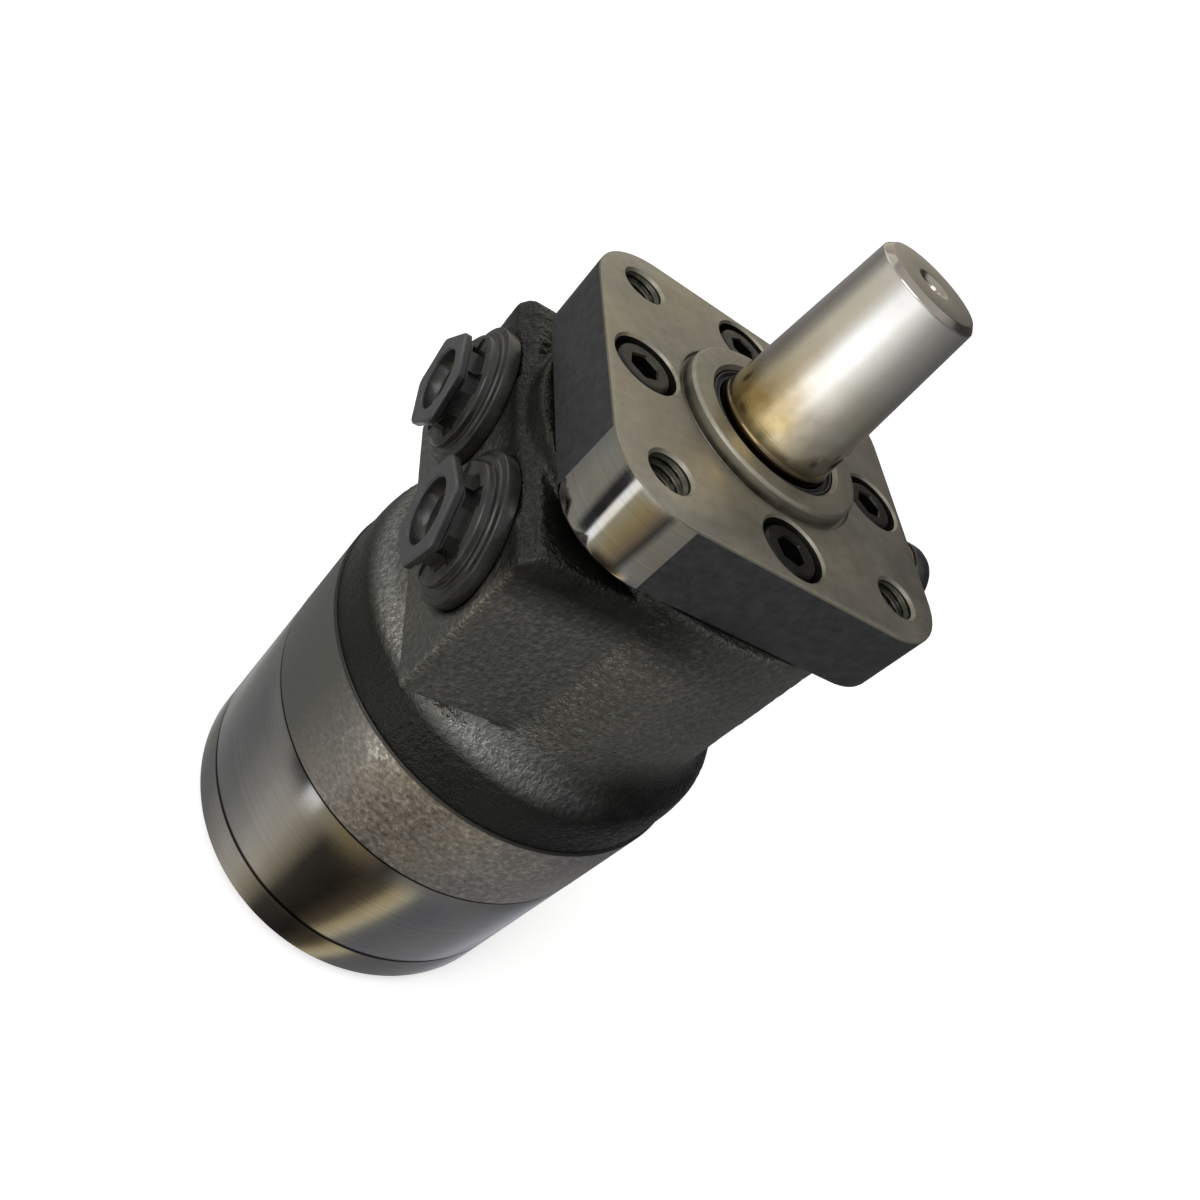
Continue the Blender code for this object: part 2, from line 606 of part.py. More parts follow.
def make_port_plugs():
    """A collared hex plug in each port, with its O-ring in the port's sink."""
    shank_r = PORT_R - GAP
    seat = GAP - PORT_SPOT_DEPTH
    plug = turned("port_plug", [
        (0.0, 0.0056), (0.0120, 0.0056), (0.0132, 0.0048), (0.0132, 0.0036), (PLUG_COLLAR_R - 0.0006, 0.0036),
        (PLUG_COLLAR_R, 0.0030), (PLUG_COLLAR_R, seat), (shank_r, seat), (shank_r, -0.0130), (0.0, -0.0130),
    ], 24)
    head = rod("plug_head", (0.0, 0.0, 0.0040), (0.0, 0.0, 0.0105), PLUG_HEAD_FLATS / math.sqrt(3), 6)
    join(plug, head)
    mesh = bake(plug, [head])
    turn = Matrix.Rotation(-math.pi / 2, 4, "Y")
    ports = [("a", 1), ("b", -1)]
    places = [("port_plug_" + letter, Matrix.Translation((PORT_FACE_X, side * PORT_Y, PORT_Z)) @ turn)
              for letter, side in ports]
    place_copies(places, mesh, BLACK_PLASTIC)
    for letter, side in ports:
        o_ring("port_plug_o_ring_" + letter, 0.0119, 0.0006, (PORT_FACE_X + 0.00115, side * PORT_Y, PORT_Z),
               (0.0, math.pi / 2, 0.0), 24)


def make_drain_plug():
    """Domed plug in the flange's side, over a flat sealing washer."""
    washer_t = 0.0010
    base = washer_t + 2 * GAP
    plug = turned("drain_plug", [
        (0.0, 0.0085), (0.0045, 0.0085), (0.0070, 0.0075), (DRAIN_HEAD_R, 0.0052), (DRAIN_HEAD_R, base),
        (0.0030, base), (0.0030, GAP - DRAIN_DEPTH), (0.0, GAP - DRAIN_DEPTH),
    ], 24)
    washer = annulus("drain_washer", 0.0034, 0.0080, GAP, GAP + washer_t, 20)
    for piece, surface in ((plug, BLACK_PLASTIC), (washer, BRASS)):
        piece.location = (FLANGE_HALF, DRAIN_Y, DRAIN_Z)
        piece.rotation_euler = (0.0, math.pi / 2, 0.0)
        place(piece, surface)


def check_angles():
    return [roller_angles()[2], roller_angles()[5]]


def make_check_valves():
    """Two anti-cavitation check balls in the housing's rear face, each behind a hollow screw."""
    for letter, angle in zip("ab", check_angles()):
        foot = on_circle(CHECK_CIRCLE_R, angle)
        middle = foot + Vector((0.0, 0.0, 0.0640))
        bpy.ops.mesh.primitive_uv_sphere_add(segments=12, ring_count=8, radius=0.0028, location=middle)
        ball = bpy.context.object
        ball.name = "check_ball_" + letter
        ball.data.shade_smooth()
        bpy.context.collection.objects.unlink(ball)
        place(ball, GROUND_STEEL)
        screw = annulus("check_screw_" + letter, 0.0013, 0.0031, STATOR_SEAM + 0.0005, 0.0600, 16)
        screw.location = foot
        place(screw, ZINC_STEEL)


def build():
    make_housing()
    make_stator_ring()
    make_end_cover()
    make_mounting_flange()
    make_output_shaft()
    make_rotor()
    make_rotor_spacer()
    make_drive_link()
    make_rollers()
    make_thrust_bearing()
    make_seals()
    make_flange_screws()
    make_cover_bolts()
    make_port_plugs()
    make_drain_plug()
    make_check_valves()


clear_scene()
PARTS = new_collection("hydraulic_motor")
CUTTERS = new_collection("hydraulic_motor_cutters")
CAST_IRON = material("cast_iron", (0.045, 0.045, 0.045), 0.60, 0.8)
PAINTED_IRON = material("flange_iron", (0.20, 0.18, 0.15), 0.45, 0.9)
TURNED_STEEL = material("turned_steel", (0.30, 0.29, 0.28), 0.28, 1.0)
POLISHED_STEEL = material("polished_steel", (0.62, 0.60, 0.58), 0.18, 1.0)
GROUND_STEEL = material("ground_steel", (0.50, 0.50, 0.50), 0.30, 1.0)
BLACK_STEEL = material("black_oxide_steel", (0.03, 0.03, 0.03), 0.35, 0.9)
ZINC_STEEL = material("zinc_steel", (0.55, 0.54, 0.50), 0.35, 1.0)
BRASS = material("brass", (0.60, 0.45, 0.20), 0.35, 1.0)
BLACK_PLASTIC = material("black_plastic", (0.02, 0.02, 0.02), 0.30, 0.0)
RUBBER = material("black_rubber", (0.015, 0.015, 0.015), 0.70, 0.0)
build()
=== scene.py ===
"""Looks of the orbital hydraulic motor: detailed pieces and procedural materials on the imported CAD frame.

Lengths are metres in the CAD's own frame: +Z runs along the output shaft, the ports face -X.
"""

import json
import math

import bmesh
import bpy
from mathutils import Matrix, Vector, noise


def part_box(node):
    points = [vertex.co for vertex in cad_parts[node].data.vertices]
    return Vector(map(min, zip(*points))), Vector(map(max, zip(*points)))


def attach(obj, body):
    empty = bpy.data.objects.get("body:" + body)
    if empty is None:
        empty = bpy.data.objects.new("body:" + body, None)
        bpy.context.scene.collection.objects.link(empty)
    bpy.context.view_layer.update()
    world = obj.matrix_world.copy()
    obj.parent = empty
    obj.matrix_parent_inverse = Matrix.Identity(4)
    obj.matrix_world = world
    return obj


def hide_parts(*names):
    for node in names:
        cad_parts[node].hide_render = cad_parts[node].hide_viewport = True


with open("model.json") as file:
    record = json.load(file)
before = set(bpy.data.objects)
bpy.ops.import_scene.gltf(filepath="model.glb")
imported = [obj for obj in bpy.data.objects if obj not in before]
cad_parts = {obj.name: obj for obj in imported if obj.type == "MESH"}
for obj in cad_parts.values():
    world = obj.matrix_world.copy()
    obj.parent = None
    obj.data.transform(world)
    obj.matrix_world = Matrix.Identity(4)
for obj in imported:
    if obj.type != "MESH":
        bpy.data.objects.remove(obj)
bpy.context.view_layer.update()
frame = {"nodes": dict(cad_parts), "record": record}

# ---- dimensions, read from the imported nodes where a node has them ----
HOUSING_LOW, HOUSING_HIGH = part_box("housing")
STATOR_LOW, STATOR_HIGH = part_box("stator_ring")
COVER_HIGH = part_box("end_cover")[1]
FLANGE_LOW, FLANGE_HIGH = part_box("mounting_flange")
SHAFT_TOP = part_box("output_shaft")[1].z
BOLT_LOW, BOLT_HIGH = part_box("cover_bolt_1")
WASHER_LOW, WASHER_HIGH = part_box("cover_washer_1")
PLUG_OUTER_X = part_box("port_plug_a")[0].x

GAP = 0.0003                      # clearance between pieces that touch on the real motor
BODY_R = COVER_HIGH.x             # barrel, stator ring and end cover
NECK_R = 0.0436
NECK_TOP = HOUSING_HIGH.z
BARREL_TOP = 0.0800
BAND_TOP = 0.0940                 # foot of the shoulder
BAND_R = BODY_R - 0.0006
BLOCK_X = -0.0450                 # the flat face that the ports open in
BLOCK_HALF_Y = 0.0402
BLOCK_BOTTOM = 0.1015
BLOCK_TOP = 0.1475
BLOCK_EDGE = 0.0032               # chamfer between the port face and the block's front
PORT_Y = 0.0203
PORT_Z = 0.1295
PORT_R = 0.0103
PORT_SPOT_R = 0.0166
PORT_SPOT_DEPTH = 0.0005
FLANGE_HALF = FLANGE_HIGH.y
FLANGE_FACE = 0.1685
CORNER_R = 0.0165
PILOT_R = 0.0222
PILOT_TOP = FLANGE_HIGH.z
SEAL_BORE_R = 0.0163
MOUNT_CIRCLE_R = 0.04125
MOUNT_HOLE_R = 0.00476
THREAD_PITCH = 0.0015875
THREAD_DEPTH = 0.0008
SCREW_CIRCLE_R = 0.0315
SCREW_HEAD_R = 0.0065
SCREW_HEAD_H = 0.0080
SCREW_SHANK_R = 0.0040
SCREW_HOLE_R = 0.0044
COUNTERBORE_R = 0.0075
COUNTERBORE_FLOOR = 0.1595
BOLT_COUNT = 7
BOLT_CIRCLE_R = 0.0428
BOLT_SHANK_R = 0.0030
BOLT_HOLE_R = 0.0033
BOLT_HEAD_FLATS = 0.0100
BOLT_SPOT_R = 0.0070
BOLT_SPOT_DEPTH = 0.0020
WASHER_R = 0.0062
ROLLER_CIRCLE_R = 0.0305
ROLLER_POCKET_R = 0.0058
SPOOL_R = 0.0216
SPOOL_GROOVE_R = 0.0190
SPOOL_BORE_R = 0.0220
PLUG_HEAD_FLATS = 0.0205
DRAIN_Y = -0.0090
DRAIN_Z = 0.1600
DRAIN_HEAD_R = 0.0085
DRAIN_HOLE_R = 0.0033
DRAIN_DEPTH = 0.0041
OVERCUT = 0.001                   # how far a cutter runs past the face that it opens
ROUND = 224                       # sides of the large turned pieces


# ---- meshes ----
def on_circle(radius, angle, height=0.0):
    return Vector((radius * math.cos(angle), radius * math.sin(angle), height))


def circle(radius, height, sides):
    return [on_circle(radius, math.tau * side / sides, height) for side in range(sides)]


def quarter_angles(offset=0.0):
    return [offset + quarter * math.pi / 2 for quarter in range(4)]


def bolt_angles():
    return [(index + 0.5) * math.tau / BOLT_COUNT for index in range(BOLT_COUNT)]


def make_object(name, data):
    made = bpy.data.objects.new(name, data)
    bpy.context.scene.collection.objects.link(made)
    return made


def object_from(name, shape, sharp_deg=32):
    bmesh.ops.recalc_face_normals(shape, faces=shape.faces)
    mesh = bpy.data.meshes.new(name)
    shape.to_mesh(mesh)
    shape.free()
    shade(mesh, sharp_deg)
    return make_object(name, mesh)


def shade(mesh, sharp_deg=32):
    mesh.shade_smooth()
    mesh.set_sharp_from_angle(angle=math.radians(sharp_deg))


def softened(points, radius, closed=False, steps=3):
    """Replace each corner of a polyline by a small curve that starts `radius` before it."""
    result = []
    count = len(points)
    for index, point in enumerate(points):
        inner = closed or 0 < index < count - 1
        if not inner:
            result.append(tuple(point))
            continue
        here = Vector(point)
        before = Vector(points[index - 1]) - here
        after = Vector(points[(index + 1) % count]) - here
        reach = min(radius, 0.45 * before.length, 0.45 * after.length)
        start = here + before.normalized() * reach
        end = here + after.normalized() * reach
        for step in range(steps + 1):
            t = step / steps
            result.append(tuple((1 - t) ** 2 * start + 2 * t * (1 - t) * here + t * t * end))
    return result


def lathe(name, profile, soft=0.0003, sides=ROUND, closed=False, sharp_deg=32):
    """Revolve a profile of (radius, height) points about Z, with its corners slightly rounded."""
    points = softened(profile, soft, closed) if soft else [tuple(point) for point in profile]
    shape = bmesh.new()
    rings = []
    for radius, height in points:
        if radius < 1e-7:
            rings.append([shape.verts.new((0.0, 0.0, height))])
        else:
            rings.append([shape.verts.new(point) for point in circle(radius, height, sides)])
    pairs = list(zip(rings, rings[1:]))
    if closed:
        pairs.append((rings[-1], rings[0]))
    for low, high in pairs:
        for side in range(sides):
            following = side + 1
            corners = [
                low[side % len(low)], low[following % len(low)],
                high[following % len(high)], high[side % len(high)],
            ]
            unique = list(dict.fromkeys(corners))
            if len(unique) > 2:
                shape.faces.new(unique)
    return object_from(name, shape, sharp_deg)


def loft(name, layers, sharp_deg=32):
    """Join closed outlines, given as lists of points, into one capped solid."""
    shape = bmesh.new()
    rings = [[shape.verts.new(point) for point in layer] for layer in layers]
    count = len(rings[0])
    for low, high in zip(rings, rings[1:]):
        for side in range(count):
            following = (side + 1) % count
            shape.faces.new((low[side], low[following], high[following], high[side]))
    shape.faces.new(list(reversed(rings[0])))
    shape.faces.new(rings[-1])
    return object_from(name, shape, sharp_deg)


def block(name, low, high, bevel=0.0, segments=3):
    shape = bmesh.new()
    size = Vector(high) - Vector(low)
    middle = (Vector(high) + Vector(low)) / 2
    bmesh.ops.create_cube(shape, size=1.0, matrix=Matrix.Translation(middle) @ Matrix.Diagonal((*size, 1.0)))
    if bevel:
        edges = shape.edges[:]
        bmesh.ops.bevel(shape, geom=edges, offset=bevel, segments=segments, affect="EDGES", profile=0.5)
    return object_from(name, shape)


def apply_modifiers(piece, *tools):
    bpy.context.view_layer.update()
    evaluated = piece.evaluated_get(bpy.context.evaluated_depsgraph_get())
    mesh = bpy.data.meshes.new_from_object(evaluated)
    piece.modifiers.clear()
    piece.data = mesh
    for tool in tools:
        bpy.data.objects.remove(tool)
    return piece


def boolean(piece, operation, *tools):
    for tool in tools:
        modifier = piece.modifiers.new(tool.name, "BOOLEAN")
        modifier.operation = operation
        modifier.solver = "EXACT"
        modifier.object = tool
    apply_modifiers(piece, *tools)
    shade(piece.data)
    return piece


def cut(piece, *tools):
    return boolean(piece, "DIFFERENCE", *tools)


def moved(piece, matrix):
    piece.data.transform(matrix)
    return piece


def merged(name, pieces):
    """One object from several, with their places kept in its mesh."""
    shape = bmesh.new()
    for piece in pieces:
        shape.from_mesh(piece.data)
        bpy.data.objects.remove(piece)
    mesh = bpy.data.meshes.new(name)
    shape.to_mesh(mesh)
    shape.free()
    shade(mesh)
    return make_object(name, mesh)


def finish_piece(piece, body, surfaces, choose=None, nodes=()):
    """Give the piece its materials, set it riding on its body and hide the CAD nodes it stands for."""
    piece.data.materials.clear()
    for surface in surfaces:
        piece.data.materials.append(surface)
    if choose:
        for face in piece.data.polygons:
            face.material_index = choose(face.center)
    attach(piece, body)
    if nodes:
        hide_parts(*nodes)
    return piece


# ---- material building blocks ----
class Surface:
    """A node material whose patterns are laid out in the object's own space."""

    def __init__(self, name, metallic, roughness, specular=0.5):
        self.material = bpy.data.materials.new(name)
        self.material.use_nodes = True
        self.tree = self.material.node_tree
        self.shader = self.tree.nodes["Principled BSDF"]
        self.shader.inputs["Metallic"].default_value = metallic
        self.shader.inputs["Roughness"].default_value = roughness
        self.shader.inputs["Specular IOR Level"].default_value = specular
        self.place = self.tree.nodes.new("ShaderNodeTexCoord").outputs["Object"]

    def node(self, kind, **settings):
        made = self.tree.nodes.new(kind)
        for key, value in settings.items():
            setattr(made, key, value)
        return made

    def link(self, source, socket):
        self.tree.links.new(source, socket)

    def stretched(self, scale):
        mapping = self.node("ShaderNodeMapping")
        mapping.inputs["Scale"].default_value = scale
        self.link(self.place, mapping.inputs["Vector"])
        return mapping.outputs["Vector"]

    def noise(self, scale, detail=4.0, roughness=0.55, stretch=None, distortion=0.0):
        made = self.node("ShaderNodeTexNoise")
        made.inputs["Scale"].default_value = scale
        made.inputs["Detail"].default_value = detail
        made.inputs["Roughness"].default_value = roughness
        made.inputs["Distortion"].default_value = distortion
        self.link(self.stretched(stretch) if stretch else self.place, made.inputs["Vector"])
        return made.outputs["Fac"]

    def along(self, axis, start, end):
        """0 where the coordinate named by its letter is at start and 1 where it is at end."""
        split = self.node("ShaderNodeSeparateXYZ")
        self.link(self.place, split.inputs[0])
        return self.fade(split.outputs[axis], start, end)

    def distance(self, stretch, centre=(0.0, 0.0, 0.0)):
        """Distance from a centre; a stretch of 0 leaves that axis out."""
        offset = self.node("ShaderNodeVectorMath", operation="SUBTRACT")
        self.link(self.stretched(stretch), offset.inputs[0])
        offset.inputs[1].default_value = centre
        length = self.node("ShaderNodeVectorMath", operation="LENGTH")
        self.link(offset.outputs[0], length.inputs[0])
        return length.outputs["Value"]

    def rings(self, scale, detail=3.0):
        """Noise that depends only on the distance from the motor's axis."""
        made = self.node("ShaderNodeTexNoise", noise_dimensions="1D")
        made.inputs["Scale"].default_value = scale
        made.inputs["Detail"].default_value = detail
        self.link(self.distance((1.0, 1.0, 0.0)), made.inputs["W"])
        return made.outputs["Fac"]

    def fade(self, value, start, end):
        """0 while the value is at start and 1 when it is at end, which may be the lower one."""
        made = self.node("ShaderNodeMapRange")
        made.inputs["From Min"].default_value = start
        made.inputs["From Max"].default_value = end
        self.link(value, made.inputs["Value"])
        return made.outputs["Result"]

    def near_port(self, side):
        """1 in the spot face round one port, falling to 0 just outside it."""
        away = self.distance((0.0, 1.0, 1.0), (0.0, side * PORT_Y, PORT_Z))
        round_port = self.fade(away, PORT_SPOT_R + 0.0016, PORT_SPOT_R - 0.0002)
        at_face = self.along("X", BLOCK_X + 0.0040, BLOCK_X + 0.0015)
        return self.product(round_port, at_face)

    def product(self, first, second):
        return self.combined("MULTIPLY", first, second)

    def total(self, first, second):
        return self.combined("ADD", first, second)

    def combined(self, operation, first, second):
        """Two values joined into one that is kept between 0 and 1."""
        made = self.node("ShaderNodeMath", operation=operation, use_clamp=True)
        self.link(first, made.inputs[0])
        self.link(second, made.inputs[1])
        return made.outputs[0]

    def ramp(self, value, stops):
        made = self.node("ShaderNodeValToRGB")
        colours = made.color_ramp.elements
        for position, _ in stops[2:]:
            colours.new(position)
        for element, (position, colour) in zip(colours, stops):
            element.position = position
            element.color = (*colour, 1.0)
        self.link(value, made.inputs["Fac"])
        return made.outputs["Color"]

    def grey(self, value, low, high, start=0.3, end=0.7):
        return self.ramp(value, [(start, (low,) * 3), (end, (high,) * 3)])

    def mix(self, factor, first, second, blend="MIX"):
        made = self.node("ShaderNodeMix", data_type="RGBA", blend_type=blend)
        for socket, value in ((made.inputs[0], factor), (made.inputs[6], first), (made.inputs[7], second)):
            if isinstance(value, (int, float)):
                socket.default_value = value
            elif isinstance(value, tuple):
                socket.default_value = (*value, 1.0)
            else:
                self.link(value, socket)
        return made.outputs[2]

    def colour(self, output):
        self.link(output, self.shader.inputs["Base Color"])

    def roughness(self, output):
        self.link(output, self.shader.inputs["Roughness"])

    def bump(self, *layers):
        """Stack bump layers, each a (height output, strength, distance in metres)."""
        normal = None
        for height, strength, distance in layers:
            made = self.node("ShaderNodeBump")
            made.inputs["Strength"].default_value = strength
            made.inputs["Distance"].default_value = distance
            self.link(height, made.inputs["Height"])
            if normal:
                self.link(normal, made.inputs["Normal"])
            normal = made.outputs["Normal"]
        self.link(normal, self.shader.inputs["Normal"])


# ---- materials ----
def cast_iron():
    """Rough casting in dark paint, with tone varying in patches, painted shade under the flange, on the lower
    +X side and round the port collars, and a band at its foot painted near-black as shade.
    """
    made = Surface("cast_iron_rough", 0.85, 0.40)
    grain = made.noise(850, 2, 0.5)
    patches = made.noise(28, 3)
    base = made.ramp(grain, [
        (0.30, (0.125, 0.125, 0.120)), (0.52, (0.170, 0.170, 0.162)), (0.74, (0.25, 0.245, 0.235)),
    ])
    tint = made.ramp(patches, [(0.35, (0.80, 0.82, 0.84)), (0.65, (1.0, 0.97, 0.90))])
    skin = made.mix(1.0, base, tint, "MULTIPLY")
    # painted shade: the band at the foot of the shoulder is coloured near-black
    in_band = made.along("Z", BAND_TOP + 0.0020, BAND_TOP - 0.0015)
    shaded_band = made.mix(in_band, skin, (0.030, 0.031, 0.029))
    # painted shadow under the flange, on the -X side
    high_up = made.along("Z", NECK_TOP - 0.0163, NECK_TOP - 0.0083)
    shade_under_flange = made.product(high_up, made.along("X", 0.012, -0.016))
    # painted shade on the lower +X side, over the shoulder and band
    low_down = made.along("Z", BLOCK_BOTTOM + 0.0105, BLOCK_BOTTOM - 0.0015)
    shaded_low_side = made.product(low_down, made.along("X", -0.0140, 0.0120))
    # painted shade in the spot faces round the port plugs' collars
    shade_round_ports = made.total(made.near_port(1), made.near_port(-1))
    # painted shade: the three masks above together, mixed toward near-black below
    painted_shade = made.total(made.total(shade_under_flange, shaded_low_side), shade_round_ports)
    uneven = made.grey(made.noise(60, 4, 0.6), 0.78, 0.98)
    made.colour(made.mix(made.product(painted_shade, uneven), shaded_band, (0.006, 0.006, 0.005)))
    made.roughness(made.grey(made.noise(900, 3), 0.24, 0.46))
    made.bump((grain, 0.85, 0.00042), (made.noise(1700, 2), 0.60, 0.00020))
    return made.material


def barrel_iron():
    """Turned cast iron: fine rings over a speckled grain, painted shade toward -X, one painted glint and a
    top rim painted dark as shade.
    """
    made = Surface("barrel_iron_turned", 0.9, 0.42)
    grain = made.noise(750, 4, 0.65)
    rings = made.noise(260, 3, 0.6, stretch=(0.05, 0.05, 6.0))
    base = made.ramp(grain, [
        (0.32, (0.26, 0.25, 0.235)), (0.55, (0.44, 0.425, 0.40)), (0.75, (0.72, 0.70, 0.67)),
    ])
    smudge = made.ramp(made.noise(22, 4, 0.6), [(0.36, (0.70, 0.70, 0.74)), (0.64, (1.0, 0.94, 0.86))])
    speckled = made.mix(1.0, base, smudge, "MULTIPLY")
    shaded = made.mix(made.along("X", -0.0350, -0.0470), speckled, (0.19, 0.19, 0.18))
    # painted glint: a near-white spot just below the barrel's top edge
    glint_spot = made.fade(made.distance((1.0, 1.0, 0.8), (-0.0353, -0.0374, 0.0625)), 0.0055, 0.0005)
    painted_glint = made.product(glint_spot, made.grey(made.noise(900, 3), 0.0, 1.0, 0.48, 0.62))
    glinting = made.mix(painted_glint, shaded, (1.0, 0.99, 0.97))
    # painted shade: the top rim is coloured dark so its edge shows no highlight
    at_rim = made.along("Z", BARREL_TOP - 0.0009, BARREL_TOP - 0.0004)
    made.colour(made.mix(at_rim, glinting, (0.050, 0.049, 0.044)))
    made.roughness(made.grey(grain, 0.34, 0.52))
    made.bump((grain, 0.45, 0.00025), (rings, 0.15, 0.00008))
    return made.material


def turned_steel():
    """Fine-turned steel under a thin film of oil, with painted shade in the seams between the rings."""
    made = Surface("steel_turned_oily", 1.0, 0.24)
    rings = made.noise(300, 4, 0.6, stretch=(0.03, 0.03, 9.0))
    film = made.noise(16, 4, 0.55, stretch=(1.0, 1.0, 0.45), distortion=0.6)
    base = made.ramp(film, [
        (0.30, (0.30, 0.315, 0.34)), (0.45, (0.37, 0.37, 0.37)),
        (0.58, (0.40, 0.37, 0.31)), (0.72, (0.33, 0.28, 0.21)),
    ])
    metal = made.mix(0.35, base, made.grey(rings, 0.24, 0.46))
    # painted shade along the seams at the stator ring's two ends
    front_seam = made.along("Z", STATOR_HIGH.z - 0.0006, STATOR_HIGH.z - 0.0002)
    above_cover = made.along("Z", COVER_HIGH.z - 0.0008, COVER_HIGH.z - 0.0003)
    below_stator = made.along("Z", STATOR_LOW.z + 0.0008, STATOR_LOW.z + 0.0003)
    rear_seam = made.product(above_cover, below_stator)
    made.colour(made.mix(made.total(front_seam, rear_seam), metal, (0.010, 0.009, 0.008)))
    made.roughness(made.grey(made.noise(60, 5, 0.6), 0.10, 0.19))
    made.bump((rings, 0.12, 0.00006), (made.noise(40, 3), 0.05, 0.0004))
    return made.material


def polished_steel():
    """Ground steel, with a golden stain toward the shaft's foot and a duller end face."""
    made = Surface("shaft_steel_ground", 1.0, 0.20)
    rings = made.noise(420, 4, 0.6, stretch=(0.02, 0.02, 8.0))
    cloud = made.noise(34, 4, 0.6)
    clean = made.ramp(cloud, [(0.3, (0.66, 0.64, 0.60)), (0.7, (0.80, 0.79, 0.77))])
    stain = made.ramp(made.noise(60, 4, 0.65), [(0.35, (0.50, 0.40, 0.20)), (0.65, (0.26, 0.175, 0.07))])
    toward_foot = made.along("Z", PILOT_TOP + 0.0247, PILOT_TOP + 0.0027)
    wave = made.product(toward_foot, made.grey(made.noise(45, 3), 0.4, 1.6, 0.35, 0.7))
    stained = made.mix(wave, clean, stain)
    at_foot = made.along("Z", PILOT_TOP + 0.0032, PILOT_TOP - 0.0001)
    foot = made.mix(at_foot, stained, (0.075, 0.055, 0.032))
    at_end = made.along("Z", SHAFT_TOP - 0.0015, SHAFT_TOP - 0.0010)
    made.colour(made.mix(at_end, foot, (0.34, 0.31, 0.27)))
    made.roughness(made.grey(made.noise(150, 4, 0.6), 0.09, 0.19))
    made.bump((rings, 0.10, 0.00005))
    return made.material


def flange_face():
    """Faced iron: rings about the shaft, a warm dull sheen, small scuffs, painted shade round the pilot's
    foot on its -X side.
    """
    made = Surface("flange_face_machined", 0.85, 0.42)
    rings = made.rings(2600)
    cloud = made.noise(26, 5, 0.6)
    base = made.ramp(cloud, [
        (0.28, (0.19, 0.178, 0.140)), (0.50, (0.27, 0.245, 0.178)), (0.72, (0.34, 0.285, 0.180)),
    ])
    scuffed = made.mix(0.30, base, made.grey(made.noise(420, 4, 0.7), 0.16, 0.34))
    # painted shade round the foot of the pilot, on the port (-X) side only
    near_pilot = made.fade(made.distance((1.0, 1.0, 0.0)), PILOT_R + 0.0018, PILOT_R + 0.0003)
    near_face = made.along("Z", FLANGE_FACE + 0.0016, FLANGE_FACE + 0.0004)
    foot = made.product(near_pilot, near_face)
    port_side = made.along("X", 0.010, -0.008)
    streaky_shade = made.product(port_side, made.grey(made.noise(110, 4, 0.6), 0.35, 1.0))
    made.colour(made.mix(made.product(foot, streaky_shade), scuffed, (0.030, 0.020, 0.010)))
    made.roughness(made.grey(made.noise(90, 5, 0.6), 0.34, 0.52))
    made.bump((rings, 0.18, 0.00006), (made.noise(700, 3), 0.15, 0.00010))
    return made.material


def flange_side():
    """The flange's cast edge in dark paint."""
    made = Surface("flange_side_cast", 0.35, 0.46)
    grain = made.noise(520, 5, 0.6)
    made.colour(made.ramp(grain, [(0.30, (0.026, 0.027, 0.029)), (0.70, (0.050, 0.052, 0.055))]))
    made.roughness(made.grey(made.noise(80, 4), 0.38, 0.56))
    made.bump((grain, 0.30, 0.00018))
    return made.material


def turned_corner():
    """The flange's -X -Y corner, the only one that is cleaned up bright."""
    made = Surface("flange_corner_turned", 1.0, 0.08)
    rings = made.noise(300, 4, 0.6, stretch=(0.05, 0.05, 8.0))
    warm = made.ramp(made.noise(70, 3), [(0.35, (0.46, 0.46, 0.46)), (0.65, (0.52, 0.44, 0.30))])
    made.colour(made.mix(0.3, warm, made.grey(rings, 0.30, 0.60)))
    made.roughness(made.grey(made.noise(200, 4), 0.05, 0.12))
    made.bump((rings, 0.08, 0.00004), (made.noise(90, 3), 0.05, 0.0003))
    return made.material


def bored_iron():
    """Inside of the drilled, bored and threaded holes: cut metal painted near-black as shade."""
    made = Surface("bore_iron_shaded", 0.9, 0.38)
    # painted shade: the colour inside the holes is kept near-black
    cloud = made.noise(90, 4, 0.6)
    made.colour(made.ramp(cloud, [(0.3, (0.030, 0.031, 0.026)), (0.7, (0.085, 0.083, 0.066))]))
    made.roughness(made.grey(made.noise(300, 3), 0.28, 0.50))
    made.bump((made.noise(900, 3), 0.20, 0.00008))
    return made.material


def black_plastic():
    """Moulded plastic, painted paler as light on the port plugs' outer ends."""
    made = Surface("plug_plastic_black", 0.0, 0.30)
    cloud = made.noise(120, 4, 0.6)
    base = made.ramp(cloud, [(0.3, (0.006, 0.006, 0.006)), (0.7, (0.022, 0.021, 0.019))])
    # painted light: the outer ends, which face the light, are coloured lighter
    outer_end = made.along("X", PLUG_OUTER_X + 0.0008, PLUG_OUTER_X + 0.0004)
    made.colour(made.mix(outer_end, base, (0.042, 0.043, 0.045)))
    made.roughness(made.grey(made.noise(260, 4, 0.6), 0.16, 0.36))
    made.bump((made.noise(900, 4), 0.30, 0.00012), (made.noise(160, 4), 0.25, 0.0005))
    return made.material


def black_oxide():
    made = Surface("screw_black_oxide", 0.85, 0.30)
    cloud = made.noise(300, 4, 0.6)
    made.colour(made.ramp(cloud, [(0.3, (0.008, 0.008, 0.008)), (0.7, (0.026, 0.025, 0.023))]))
    made.roughness(made.grey(made.noise(500, 3), 0.22, 0.40))
    made.bump((made.noise(1200, 3), 0.15, 0.00005))
    return made.material


def zinc_steel():
    made = Surface("bolt_zinc_plated", 1.0, 0.32)
    cloud = made.noise(240, 4, 0.6)
    made.colour(made.ramp(cloud, [(0.3, (0.46, 0.45, 0.41)), (0.7, (0.66, 0.65, 0.61))]))
    made.roughness(made.grey(made.noise(400, 4), 0.24, 0.42))
    made.bump((made.noise(1100, 3), 0.15, 0.00005))
    return made.material


